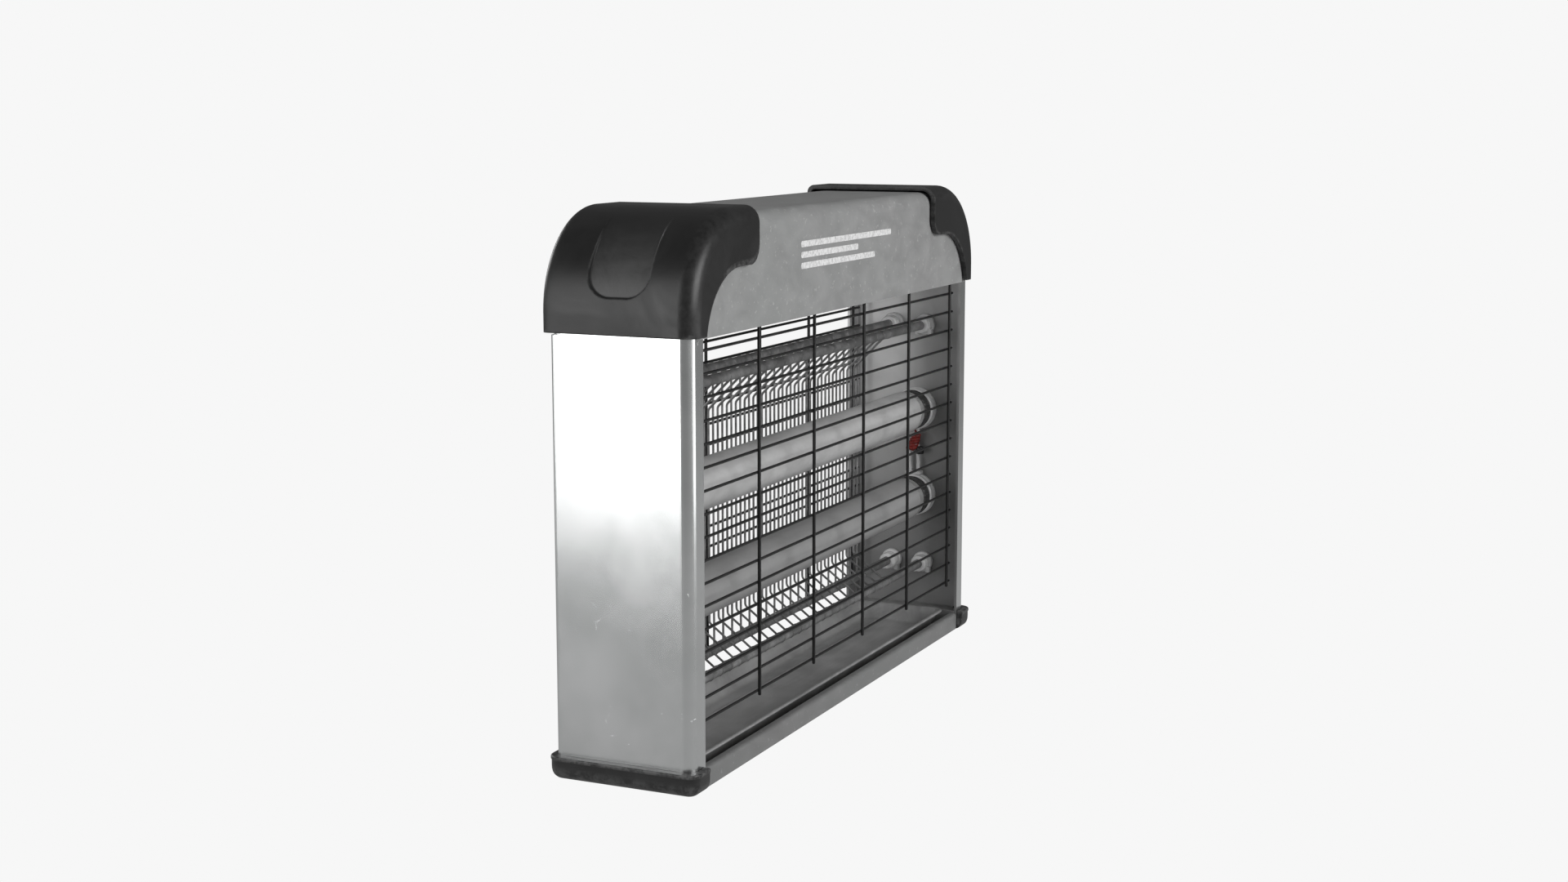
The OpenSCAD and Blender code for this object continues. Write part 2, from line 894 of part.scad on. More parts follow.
module switch_body() {
    o = switch_open / 2;
    w = switch_wall;
    color("#1a1a1a") difference() {
        union() {
            box([switch_x - o[0] - w, half_w - 13, switch_z - o[1] - w],
                [switch_x + o[0] + w, half_w + 0.5, switch_z + o[1] + w]);
            box([switch_x - 7.5, half_w, switch_z - 10.5],
                [switch_x + 7.5, half_w + 1.6, switch_z + 10.5]);
        }
        box([switch_x - o[0], half_w - 11.9, switch_z - o[1]],
            [switch_x + o[0], half_w + 2, switch_z + o[1]]);
        rod_x([switch_x - 10, rocker_y, switch_z], 20, rocker_pin_r + run_gap);
    }
}

// Two-position rocker with a shallow V face, tipped to one side
module switch_rocker() {
    w = switch_open[0] - 0.4;
    color("#8a1f1a") translate([switch_x, rocker_y, switch_z]) rotate([-rocker_tilt, 0, 0]) {
        intersection() {
            rod_x([-w / 2, 0, 0], w, rocker_r);
            union() for (s = [0, 1]) mirror([0, 0, s]) rotate([rocker_tilt, 0, 0])
                box([-w, -rocker_r, -0.5], [w, 5.6, rocker_r + 1]);
        }
        rod_x([-w / 2 - 1.1, 0, 0], w + 2.2, rocker_pin_r);
    }
}

module switch_terminals() {
    color("gold") for (s = [-1, 1])
        box([switch_x - 2.4, half_w - 20, switch_z + s * 4 - 0.4],
            [switch_x + 2.4, half_w - 13, switch_z + s * 4 + 0.4]);
}

end_profile_left();
end_profile_right();
hood();
deck_plate();
end_cap_left();
end_cap_right();
foot_left();
foot_right();
guard_front();
guard_back();
rail_front_top();
rail_front_bottom();
rail_back_top();
rail_back_bottom();
grid_wires_front();
grid_wires_back();
insulators_left();
insulators_right();
holder_upper_left();
holder_upper_right();
holder_lower_left();
holder_lower_right();
upper_lamp_glass();
upper_lamp_bases();
upper_lamp_pins();
upper_lamp_rotors();
lower_lamp_glass();
lower_lamp_bases();
lower_lamp_pins();
lower_lamp_rotors();
link_leads();
link_choke();
link_sleeve();
tray_pan();
tray_front_strip();
tray_runner_left();
tray_runner_right();
back_sill();
ballast();
hv_transformer();
hv_board();
hv_capacitors();
starters();
starter_sockets();
terminal_block();
mains_leads();
lamp_leads();
hv_leads();
cable_gland();
gland_nut();
switch_body();
switch_rocker();
switch_terminals();
cap_screws();
deck_screws();
tray_rivets();
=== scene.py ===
import json
import math

import bmesh
import bpy
import numpy as np
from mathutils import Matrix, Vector


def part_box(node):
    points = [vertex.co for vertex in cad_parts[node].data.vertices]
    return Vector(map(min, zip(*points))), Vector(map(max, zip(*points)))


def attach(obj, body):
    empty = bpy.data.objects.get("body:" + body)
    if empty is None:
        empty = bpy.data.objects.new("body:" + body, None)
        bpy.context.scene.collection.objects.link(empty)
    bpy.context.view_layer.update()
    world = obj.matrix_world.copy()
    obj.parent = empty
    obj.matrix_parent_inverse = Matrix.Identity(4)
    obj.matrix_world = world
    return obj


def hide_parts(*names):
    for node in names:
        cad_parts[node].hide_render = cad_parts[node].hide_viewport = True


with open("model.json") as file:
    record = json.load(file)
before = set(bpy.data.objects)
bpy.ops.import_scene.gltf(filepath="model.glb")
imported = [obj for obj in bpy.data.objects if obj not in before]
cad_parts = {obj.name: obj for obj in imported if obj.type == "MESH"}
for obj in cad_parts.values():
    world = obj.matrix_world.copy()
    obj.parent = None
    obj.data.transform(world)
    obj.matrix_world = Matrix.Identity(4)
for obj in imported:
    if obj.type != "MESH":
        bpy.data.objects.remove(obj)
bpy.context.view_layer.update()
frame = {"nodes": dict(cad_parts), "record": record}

NODES = frame["nodes"]
MM = 0.001
SMOOTH_ANGLE = 35

# ---------------------------------------------------------------- camera and light

CAMERA_AT = (-1.0745, -0.4913, 0.3307)
CAMERA_TIP = 81.007
CAMERA_TURN = -65.372
CAMERA_LENS = 49.35


def make_camera():
    data = bpy.data.cameras.new("camera")
    data.lens = CAMERA_LENS
    data.sensor_width = 36
    data.clip_start = 0.02
    camera = bpy.data.objects.new("camera", data)
    camera.location = CAMERA_AT
    camera.rotation_euler = (math.radians(CAMERA_TIP), 0, math.radians(CAMERA_TURN))
    bpy.context.scene.collection.objects.link(camera)
    bpy.context.scene.camera = camera


def area_light(name, at, aim, size, power):
    """A soft rectangular light that looks at a point and isn't itself seen."""
    data = bpy.data.lights.new(name, "AREA")
    data.shape = "RECTANGLE"
    data.size, data.size_y = size
    data.energy = power
    light = bpy.data.objects.new(name, data)
    light.location = at
    light.rotation_euler = (Vector(aim) - Vector(at)).to_track_quat("-Z", "Y").to_euler()
    light.visible_camera = False
    bpy.context.scene.collection.objects.link(light)


# Brightness of the backdrop and the floor, as the camera sees them
PALE = 0.93
# The way in which the room is brightest
BRIGHT_SIDE = (-0.86, -0.50, 0.0)
# Brightness of the room by height, from straight down at 0 to straight up at 1
ROOM = [(0.0, 0.3), (0.5, 0.32), (0.60, 0.30), (0.75, 0.25), (1.0, 0.30)]
# What the floor throws up at the object from close by and from far off, and where it fades
FLOOR_GLOW = 0.42
FLOOR_GLOW_FAR = 0.2
FLOOR_FADE = (0.55, 1.5)
FLOOR_HALF = 6


def make_world():
    """Soft studio light, brighter on the camera's side; the backdrop is plain and pale."""
    world = bpy.data.worlds.new("studio")
    bpy.context.scene.world = world
    bpy.context.scene.view_settings.view_transform = "Standard"
    world.use_nodes = True
    tree = world.node_tree
    tree.nodes.clear()
    n = Nodes(tree)
    way = n.node("ShaderNodeTexCoord").outputs["Generated"]
    height = n.fade(n.node("ShaderNodeSeparateXYZ", way).outputs["Z"], -1, 1)
    room = n.ramp(height, [(place, grey(light)) for place, light in ROOM])
    side = n.node("ShaderNodeVectorMath", way, BRIGHT_SIDE, operation="DOT_PRODUCT").outputs["Value"]
    soft = n.node("ShaderNodeBackground", room, n.fade(side, -1, 1, 0.5, 1.1))
    plain = n.node("ShaderNodeBackground", (1, 1, 1, 1), PALE)
    seen = n.node("ShaderNodeLightPath").outputs["Is Camera Ray"]
    mix = n.node("ShaderNodeMixShader", seen, soft.outputs[0], plain.outputs[0])
    n.node("ShaderNodeOutputWorld", mix.outputs[0])


def make_floor():
    """A plain pale floor that throws a little even light back up at the object."""
    mesh = bpy.data.meshes.new("floor")
    corners = [(x * FLOOR_HALF, y * FLOOR_HALF, 0) for x, y in ((-1, -1), (1, -1), (1, 1), (-1, 1))]
    mesh.from_pydata(corners, [], [(0, 1, 2, 3)])
    floor = bpy.data.objects.new("floor", mesh)
    bpy.context.scene.collection.objects.link(floor)
    mat = bpy.data.materials.new("floor")
    mat.use_nodes = True
    tree = mat.node_tree
    tree.nodes.clear()
    n = Nodes(tree)
    plain = n.node("ShaderNodeEmission", (1, 1, 1, 1), PALE)
    way = n.node("ShaderNodeTexCoord").outputs["Object"]
    out = n.node("ShaderNodeVectorMath", way, operation="LENGTH").outputs["Value"]
    glow = n.node("ShaderNodeEmission", (1, 1, 1, 1), n.fade(out, *FLOOR_FADE, FLOOR_GLOW, FLOOR_GLOW_FAR))
    seen = n.node("ShaderNodeLightPath").outputs["Is Camera Ray"]
    mix = n.node("ShaderNodeMixShader", seen, glow.outputs[0], plain.outputs[0])
    n.node("ShaderNodeOutputMaterial", mix.outputs[0])
    mesh.materials.append(mat)


# ---------------------------------------------------------------- material nodes

class Nodes:
    """Short names for the shader nodes that the materials below are made of."""

    def __init__(self, tree):
        self.tree = tree

    def node(self, kind, *inputs, **settings):
        made = self.tree.nodes.new(kind)
        for key, value in settings.items():
            setattr(made, key, value)
        for i, value in enumerate(inputs):
            self.put(made.inputs[i], value)
        return made

    def put(self, socket, value):
        if isinstance(value, bpy.types.Node):
            value = value.outputs[0]
        if isinstance(value, bpy.types.NodeSocket):
            self.tree.links.new(value, socket)
        elif value is not None:
            socket.default_value = value

    def at(self, scale=(1, 1, 1)):
        """Object coordinates in metres, stretched by scale."""
        coords = self.node("ShaderNodeTexCoord").outputs["Object"]
        mapping = self.node("ShaderNodeMapping", coords)
        mapping.inputs["Scale"].default_value = scale
        return mapping.outputs[0]

    def noise(self, size, detail=3, rough=0.55, stretch=(1, 1, 1), bend=0.0):
        """Noise with blotches of about size metres."""
        made = self.node("ShaderNodeTexNoise")
        self.put(made.inputs["Vector"], self.at(stretch))
        made.inputs["Scale"].default_value = 1 / size
        made.inputs["Detail"].default_value = detail
        made.inputs["Roughness"].default_value = rough
        made.inputs["Distortion"].default_value = bend
        return made.outputs["Fac"]

    def ramp(self, fac, stops):
        made = self.node("ShaderNodeValToRGB", fac)
        points = made.color_ramp.elements
        while len(points) < len(stops):
            points.new(0.5)
        for point, (place, colour) in zip(points, stops):
            point.position = place
            point.color = (*colour, 1)
        return made.outputs["Color"]

    def fade(self, fac, low, high, a=0.0, b=1.0):
        """a below low, b above high, and straight between them."""
        made = self.node("ShaderNodeMapRange", fac, low, high, a, b)
        return made.outputs[0]

    def math(self, kind, a, b=0.0):
        return self.node("ShaderNodeMath", a, b, operation=kind).outputs[0]

    def mix(self, fac, a, b):
        """a at 0 and b at 1; each is a colour or a socket."""
        made = self.node("ShaderNodeMix", data_type="RGBA")
        self.put(made.inputs[0], fac)
        self.put(made.inputs[6], a if not isinstance(a, tuple) else (*a, 1))
        self.put(made.inputs[7], b if not isinstance(b, tuple) else (*b, 1))
        return made.outputs[2]

    def bump(self, height, depth, strength=1.0, under=None):
        """A bump whose full height stands depth metres."""
        made = self.node("ShaderNodeBump")
        made.inputs["Strength"].default_value = strength
        made.inputs["Distance"].default_value = depth
        self.put(made.inputs["Height"], height)
        if under is not None:
            self.put(made.inputs["Normal"], under)
        return made.outputs[0]

    def axis(self, name):
        coords = self.node("ShaderNodeTexCoord").outputs["Object"]
        return self.node("ShaderNodeSeparateXYZ", coords).outputs[name]

    def faces_in(self, name, far):
        """1 on faces that look back at the object's middle along an axis and lie at least far from it."""
        normal = self.node("ShaderNodeSeparateXYZ", self.node("ShaderNodeNewGeometry").outputs["Normal"])
        return self.fade(self.math("MULTIPLY", normal.outputs[name], self.axis(name)), -far, -far / 2, 1, 0)

    def edge(self, low, high):
        """1 on worn convex edges."""
        return self.fade(self.node("ShaderNodeNewGeometry").outputs["Pointiness"], low, high)


def material(name, **fixed):
    """A new material, its node helper and its shader with constant inputs set."""
    mat = bpy.data.materials.new(name)
    mat.use_nodes = True
    n = Nodes(mat.node_tree)
    shader = mat.node_tree.nodes["Principled BSDF"]
    for key, value in fixed.items():
        socket = shader.inputs[key.replace("_", " ")]
        socket.default_value = (*value, 1) if isinstance(value, tuple) else value
    return mat, n, shader


def grey(v):
    return (v, v, v)


def aluminium_material():
    """Satin aluminium sheet: hazy smudges, faint grain and a few nicks; on the inside, less metallic and
    rougher, with painted shade darker towards the bottom and the front, and blotches.
    """
    mat, n, s = material("aluminium")
    haze = n.noise(0.05, 4, 0.6)
    nicks = n.fade(n.noise(0.012, 6, 0.75, bend=1.5), 0.67, 0.70)
    tone = n.mix(n.fade(haze, 0.35, 0.65), (0.62, 0.635, 0.632), (0.69, 0.70, 0.70))
    tone = n.mix(n.math("MULTIPLY", nicks, 0.35), tone, grey(0.42))
    blotch = n.fade(n.noise(0.035, 3, 0.5, bend=0.8), 0.35, 0.68)
    # Painted shade: inside faces are darker overall, and darker still towards the bottom and towards the
    # front
    dull_and_shade = n.mix(n.fade(n.axis("Z"), 0.06, 0.19), grey(0.20), grey(0.58))
    dull_and_shade = n.mix(n.fade(n.axis("Y"), -0.012, 0.012, 0.6, 0), dull_and_shade, grey(0.20))
    dull_and_shade = n.mix(n.math("MULTIPLY", blotch, 0.4), dull_and_shade, grey(0.26))
    inside = n.math("MAXIMUM", n.faces_in("X", 0.10), n.faces_in("Y", 0.018))
    n.put(s.inputs["Base Color"], n.mix(inside, tone, dull_and_shade))
    n.put(s.inputs["Metallic"], n.fade(inside, 0, 1, 1.0, 0.3))
    rough = n.fade(haze, 0.3, 0.7, 0.20, 0.25)
    n.put(s.inputs["Roughness"], n.math("ADD", rough, n.math("MULTIPLY", inside, 0.2)))
    n.put(s.inputs["Normal"], n.bump(nicks, 0.00008, 0.6))
    return mat


def hood_material(name="hood_paint", light=1.0):
    """Mottled grey paint: small cloudy blotches, pale specks and a faint orange peel; light below 1 gives a
    darker copy, painted shade.
    """
    mat, n, s = material(name, Metallic=0.0, Specular_IOR_Level=0.45)
    blotch = n.noise(0.009, 4, 0.6, stretch=(0.5, 1, 0.8), bend=0.5)
    cloud = n.noise(0.07, 3, 0.5)
    speck = n.noise(0.0020, 2, 0.7, stretch=(0.6, 1, 0.7))
    base = n.mix(n.fade(blotch, 0.34, 0.66), grey(0.235 * light), grey(0.30 * light))
    base = n.mix(n.fade(cloud, 0.35, 0.7, 0, 0.45), base, (0.265 * light, 0.278 * light, 0.272 * light))
    specks = n.fade(speck, 0.62, 0.72, 0, 0.5)
    n.put(s.inputs["Base Color"], n.mix(specks, base, grey(0.45 * light)))
    n.put(s.inputs["Roughness"], n.fade(blotch, 0.3, 0.7, 0.40, 0.55))
    peel = n.bump(n.noise(0.0011, 2, 0.5), 0.00003, 0.5)
    n.put(s.inputs["Normal"], n.bump(blotch, 0.00005, 0.5, under=peel))
    return mat


def plastic_material(name, tone, lightened, rough=0.36, grain=0.0007, scuff=0.55, gloss=0.5):
    """Moulded plastic with a fine grain, dusty smears and edges lightened by wear; where a mesh carries the
    attributes, painted light on a recess floor and along its front groove, and painted shade in its back
    groove.
    """
    mat, n, s = material(name, Specular_IOR_Level=gloss)
    smear = n.noise(0.03, 5, 0.65, bend=0.8)
    grit = n.noise(0.004, 4, 0.7)
    edges = n.math("MULTIPLY", n.edge(0.505, 0.57), n.fade(grit, 0.40, 0.60))
    base = n.mix(n.fade(smear, 0.42, 0.70), tone, tuple(c * 1.7 for c in tone))
    # Painted light: the recess floor lighter and a painted highlight along its front groove
    painted_recess_light = n.node("ShaderNodeAttribute", attribute_name="painted_recess_light").outputs["Fac"]
    painted_recess_light = n.math("MULTIPLY", painted_recess_light, n.fade(smear, 0.30, 0.62, 0.35, 1.0))
    base = n.mix(painted_recess_light, base, grey(0.055))
    # Painted shade: the recess's back groove darkened
    painted_groove_shade = n.node("ShaderNodeAttribute", attribute_name="painted_groove_shade").outputs["Fac"]
    base = n.mix(painted_groove_shade, base, grey(0.002))
    n.put(s.inputs["Base Color"], n.mix(n.math("MULTIPLY", edges, scuff), base, lightened))
    dull_and_shade = n.math("ADD", n.math("MULTIPLY", edges, 0.15), n.math("MULTIPLY", painted_groove_shade, 0.55))
    n.put(s.inputs["Roughness"], n.math("ADD", n.fade(smear, 0.3, 0.7, rough - 0.05, rough + 0.10), dull_and_shade))
    n.put(s.inputs["Normal"], n.bump(n.noise(grain, 2, 0.5), 0.00002, 0.6))
    return mat


def wire_material(name, tone, metallic, rough):
    """Coated or bare wire with dust and matte patches."""
    mat, n, s = material(name, Metallic=metallic, Specular_IOR_Level=0.4)
    patch = n.noise(0.009, 4, 0.7)
    dusty = tuple(1.9 * c + 0.004 for c in tone)
    n.put(s.inputs["Base Color"], n.mix(n.fade(patch, 0.40, 0.70), tone, dusty))
    n.put(s.inputs["Roughness"], n.fade(patch, 0.3, 0.7, rough - 0.08, rough + 0.12))
    n.put(s.inputs["Normal"], n.bump(n.noise(0.0008, 2, 0.5), 0.00002, 0.5))
    return mat


def sheet_material(name, dark, light, metallic=0.35, rough=0.42):
    """Satin sheet steel with handling smudges and dusty streaks along its length."""
    mat, n, s = material(name, Metallic=metallic)
    smudge = n.noise(0.035, 5, 0.62, bend=1.0)
    streak = n.noise(0.006, 3, 0.6, stretch=(0.12, 1, 1))
    base = n.mix(n.fade(smudge, 0.35, 0.68), grey(dark), grey(light))
    n.put(s.inputs["Base Color"], n.mix(n.fade(streak, 0.5, 0.75, 0, 0.35), base, grey(light * 1.25)))
    n.put(s.inputs["Roughness"], n.fade(smudge, 0.3, 0.7, rough - 0.10, rough + 0.12))
    n.put(s.inputs["Normal"], n.bump(smudge, 0.00015, 0.35))
    return mat


def lamp_material():
    """Phosphor-coated glass: cloudy white, faint dust, painted shade on the lower lamp, and greyed towards
    the cathodes.
    """
    mat, n, s = material("lamp_glass", Specular_IOR_Level=0.55)
    along = n.math("ABSOLUTE", n.axis("X"))
    dust = n.noise(0.02, 4, 0.62, stretch=(0.5, 1, 1))
    base = n.mix(n.fade(dust, 0.35, 0.7), grey(0.52), grey(0.36))
    # Painted shade: the lower lamp is darker than the upper
    base = n.mix(n.fade(n.axis("Z"), 0.10, 0.12, 0.6, 0), base, grey(0.16))
    n.put(s.inputs["Base Color"], n.mix(n.fade(along, 0.135, 0.165, 0, 0.25), base, grey(0.24)))
    n.put(s.inputs["Roughness"], n.fade(dust, 0.3, 0.7, 0.34, 0.50))
    return mat


def spotted_material(name, tone, spots, size=0.003, rough=0.4, metallic=0.0, amount=0.4):
    """Plain moulded or cast stuff whose tone varies in small spots."""
    mat, n, s = material(name, Metallic=metallic)
    spot = n.noise(size, 4, 0.6)
    n.put(s.inputs["Base Color"], n.mix(n.fade(spot, 0.42, 0.68, 0, amount), tone, spots))
    n.put(s.inputs["Roughness"], n.fade(spot, 0.3, 0.7, rough - 0.06, rough + 0.10))
    n.put(s.inputs["Normal"], n.bump(spot, 0.00004, 0.4))
    return mat


def winding_material(name, tone, pitch, axis):
    """Fine even turns of wire or a stack of laminations."""
    mat, n, s = material(name, Specular_IOR_Level=0.5)
    turn = n.math("SINE", n.math("MULTIPLY", n.axis(axis), 2 * math.pi / pitch))
    n.put(s.inputs["Base Color"], n.mix(n.fade(turn, -1, 1), tuple(0.6 * c for c in tone), tone))
    n.put(s.inputs["Roughness"], n.fade(n.noise(0.004), 0.3, 0.7, 0.3, 0.5))
    n.put(s.inputs["Normal"], n.bump(turn, 0.0001, 0.7))
    return mat


def all_materials():
    return {
        "aluminium": aluminium_material(),
        "hood_paint": hood_material(),
        # A darker copy of the hood paint: painted shade on the tray's front strip
        "shaded_hood_paint": hood_material("shaded_hood_paint", 0.62),
        "tray_steel": sheet_material("tray_steel", 0.24, 0.37),
        "deck_steel": sheet_material("deck_steel", 0.28, 0.42, metallic=0.8),
        "cap_plastic": plastic_material("cap_plastic", grey(0.007), grey(0.10), gloss=0.42),
        "foot_plastic": plastic_material("foot_plastic", grey(0.010), grey(0.16), rough=0.42, scuff=0.9),
        "guard_wire": wire_material("guard_wire", grey(0.007), 0.2, 0.45),
        "grid_steel": wire_material("grid_steel", grey(0.16), 0.6, 0.45),
        "ceramic": spotted_material("ceramic", grey(0.72), grey(0.45), 0.005, 0.3),
        "holder_plastic": spotted_material("holder_plastic", grey(0.80), grey(0.58), 0.006, 0.35),
        "rotor_plastic": spotted_material("rotor_plastic", grey(0.035), grey(0.06), 0.003, 0.45),
        "lamp_glass": lamp_material(),
        "lamp_base": spotted_material("lamp_base", grey(0.50), grey(0.36), 0.004, 0.32, metallic=0.6),
        "brass": spotted_material("brass", (0.62, 0.43, 0.16), (0.35, 0.22, 0.08), 0.002, 0.3, metallic=1.0),
        "white_lead": spotted_material("white_lead", grey(0.66), grey(0.45), 0.004, 0.38),
        "red_part": spotted_material("red_part", (0.26, 0.02, 0.015), (0.06, 0.012, 0.01), 0.002, 0.4,
                                     amount=0.85),
        "black_part": spotted_material("black_part", grey(0.008), grey(0.02), 0.002, 0.4),
        "blue_lead": spotted_material("blue_lead", (0.03, 0.07, 0.18), (0.05, 0.10, 0.22), 0.004, 0.38),
        "core_iron": winding_material("core_iron", (0.10, 0.105, 0.12), 0.0010, "Y"),
        "winding": winding_material("winding", (0.26, 0.10, 0.035), 0.0006, "Z"),
        "board": spotted_material("board", (0.02, 0.12, 0.05), (0.03, 0.17, 0.07), 0.003, 0.35),
        "capacitor": spotted_material("capacitor", (0.33, 0.11, 0.02), (0.25, 0.08, 0.02), 0.004, 0.28),
        "white_plastic": spotted_material("white_plastic", grey(0.62), grey(0.50), 0.006, 0.36),
        "switch_plastic": plastic_material("switch_plastic", grey(0.015), grey(0.08), rough=0.3, gloss=0.5),
        "rocker_plastic": spotted_material("rocker_plastic", (0.30, 0.02, 0.015), (0.22, 0.015, 0.012),
                                           0.003, 0.28),
        "screw_steel": spotted_material("screw_steel", grey(0.45), grey(0.25), 0.0015, 0.32, metallic=1.0),
        "mark_paint": spotted_material("mark_paint", grey(0.78), grey(0.25), 0.0016, 0.5, amount=0.55),
    }


def dress_cad_nodes(mats):
    """Gives each CAD node the material of its slot in the record."""
    for row in frame["record"]["subparts"]:
        data = NODES[row["node"]].data
        data.materials.clear()
        data.materials.append(mats[row["material_slot"]])


# ---------------------------------------------------------------- mesh helpers

def new_piece(name, verts, faces, body, mat, slot, smooth_angle=SMOOTH_ANGLE):
    """A mesh that rides on a body and wears the material mat; slot is not used."""
    mesh = bpy.data.meshes.new(name)
    mesh.from_pydata([tuple(v) for v in verts], [], faces)
    mesh.validate()
    clean = bmesh.new()
    clean.from_mesh(mesh)
    bmesh.ops.remove_doubles(clean, verts=clean.verts, dist=1e-7)
    bmesh.ops.recalc_face_normals(clean, faces=clean.faces)
    clean.to_mesh(mesh)
    clean.free()
    mesh.polygons.foreach_set("use_smooth", [True] * len(mesh.polygons))
    mesh.set_sharp_from_angle(angle=math.radians(smooth_angle))
    mesh.materials.append(mat)
    obj = bpy.data.objects.new(name, mesh)
    bpy.context.scene.collection.objects.link(obj)
    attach(obj, body)
    return obj


def set_mesh(obj):
    """Applies obj's modifiers."""
    graph = bpy.context.evaluated_depsgraph_get()
    mesh = bpy.data.meshes.new_from_object(obj.evaluated_get(graph))
    obj.modifiers.clear()
    obj.data = mesh
    mesh.polygons.foreach_set("use_smooth", [True] * len(mesh.polygons))
    mesh.set_sharp_from_angle(angle=math.radians(SMOOTH_ANGLE))


def grid_faces(rows, cols, first=0, close_cols=False):
    """Quads of a grid of rows by cols points; close_cols joins the last column to the first."""
    out = []
    for i in range(rows - 1):
        for j in range(cols if close_cols else cols - 1):
            k = (j + 1) % cols
            out.append((first + i * cols + j, first + i * cols + k,
                        first + (i + 1) * cols + k, first + (i + 1) * cols + j))
    return out


def lathe(points, at, axis, steps=48):
    """Turns (along, radius) points about an axis through at. Returns verts and faces."""
    order = {"X": (0, 1, 2), "Y": (1, 0, 2), "Z": (1, 2, 0)}[axis]
    verts = []
    for along, radius in points:
        for k in range(steps):
            t = 2 * math.pi * k / steps
            local = (along, radius * math.cos(t), radius * math.sin(t))
            verts.append(Vector(at) + Vector([local[i] for i in order]))
    return verts, grid_faces(len(points), steps, close_cols=True)


def tube(path, radius, steps=10):
    """A round wire with flat ends along a path; radius may be one for each point."""
    path = [Vector(p) for p in path]
    radii = radius if isinstance(radius, list) else [radius] * len(path)
    verts = []
    side = None
    for i, p in enumerate(path):
        ahead = (path[min(i + 1, len(path) - 1)] - path[max(i - 1, 0)]).normalized()
        if side is None:
            side = ahead.orthogonal().normalized()
        side = (side - ahead * side.dot(ahead)).normalized()
        other = ahead.cross(side)
        for k in range(steps):
            t = 2 * math.pi * k / steps
            verts.append(p + radii[i] * (math.cos(t) * side + math.sin(t) * other))
    faces = grid_faces(len(path), steps, close_cols=True)
    faces.append(tuple(reversed(range(steps))))
    faces.append(tuple(range(len(verts) - steps, len(verts))))
    return verts, faces


def joined(parts):
    """Several (verts, faces) as one."""
    verts, faces = [], []
    for v, f in parts:
        base = len(verts)
        verts += list(v)
        faces += [tuple(base + i for i in face) for face in f]
    return verts, faces


def mirrored(part):
    """(verts, faces) on the other end of the body."""
    verts, faces = part
    return [Vector((-v[0], v[1], v[2])) for v in verts], [tuple(reversed(f)) for f in faces]


def block(lo, hi, radius, steps=2):
    """A cuboid with rounded edges. Returns verts and faces."""
    lo, hi = Vector(lo), Vector(hi)
    made = bmesh.new()
    bmesh.ops.create_cube(made, size=1)
    for v in made.verts:
        v.co = Vector([lo[i] + (v.co[i] + 0.5) * (hi[i] - lo[i]) for i in range(3)])
    bmesh.ops.bevel(made, geom=made.edges[:], offset=radius, segments=steps, profile=0.5, affect="EDGES")
    made.verts.index_update()
    out = [v.co.copy() for v in made.verts], [tuple(v.index for v in f.verts) for f in made.faces]
    made.free()
    return out


def round_path(points, radius, steps=5):
    """A path whose inner corners are arcs of about radius."""
    points = [Vector(p) for p in points]
    out = [points[0]]
    for a, b, c in zip(points, points[1:], points[2:]):
        u, v = (a - b).normalized(), (c - b).normalized()
        cut = min(radius / math.tan(u.angle(v) / 2), (a - b).length / 2.01, (c - b).length / 2.01)
        p, q = b + u * cut, b + v * cut
        for k in range(steps + 1):
            t = k / steps
            out.append(p.lerp(b, t).lerp(b.lerp(q, t), t))
    out.append(points[-1])
    return out


def rounded_outline(lo, hi, radii, steps=6):
    """Points round a rectangle in X and Y whose corners (-x-y, +x-y, +x+y, -x+y) have these radii."""
    corners = [(lo[0], lo[1], 180), (hi[0], lo[1], 270), (hi[0], hi[1], 0), (lo[0], hi[1], 90)]
    out = []
    for (x, y, start), r in zip(corners, radii):
        cx = x + r if x == lo[0] else x - r
        cy = y + r if y == lo[1] else y - r
        for k in range(steps + 1):
            t = math.radians(start + 90 * k / steps)
            out.append((cx + r * math.cos(t), cy + r * math.sin(t)))
    return out


def smoothstep(x, a, b):
    """0 below a, 1 above b, and a smooth rise between them."""
    t = min(max((x - a) / (b - a), 0.0), 1.0)
    return t * t * (3 - 2 * t)


# ---------------------------------------------------------------- end caps

CAP_R = 50 * MM
CAP_EDGE_R = 8.5 * MM
CAP_REAR_R = 4.5 * MM
CAP_WALL = 2.5 * MM
SCOOP_R = 37.8 * MM
SCOOP_AT = (1.3 * MM, -16.4 * MM)
LOBE_R = 10 * MM
RECESS_HALF = 16.5 * MM
RECESS_BOTTOM = 17.7 * MM
RECESS_CORNER = 12 * MM
RECESS_DEPTH = 1.7 * MM
# How the recess deepens across its edge, and where it runs out going up
RECESS_SOFT = (-0.3 * MM, 0.7 * MM)
RECESS_FADE = (30 * MM, 68 * MM)
# The groove along its edge: how far inside it lies, and its half width
GROOVE_AT = 0.2 * MM
GROOVE_HALF = 0.9 * MM
# The groove carries a painted highlight in front of this stretch of Y and painted shade behind it
GROOVE_TURN = (-12 * MM, -6 * MM)
# Strength of the painted highlight along the groove in front
GROOVE_HIGHLIGHT = 1.5
# Points across the cap's side wall and round its edge
WALL_STEPS = 12
ROUND_STEPS = 8
# The sinks for the screw heads: inset from the screws' outer end, depth, radius and length of the cut
SCREW_INSETS = (3 * MM, 25 * MM)
SCREW_SINK = 1.15 * MM
SCREW_SINK_R = 3.25 * MM
SCREW_CUT = 5 * MM


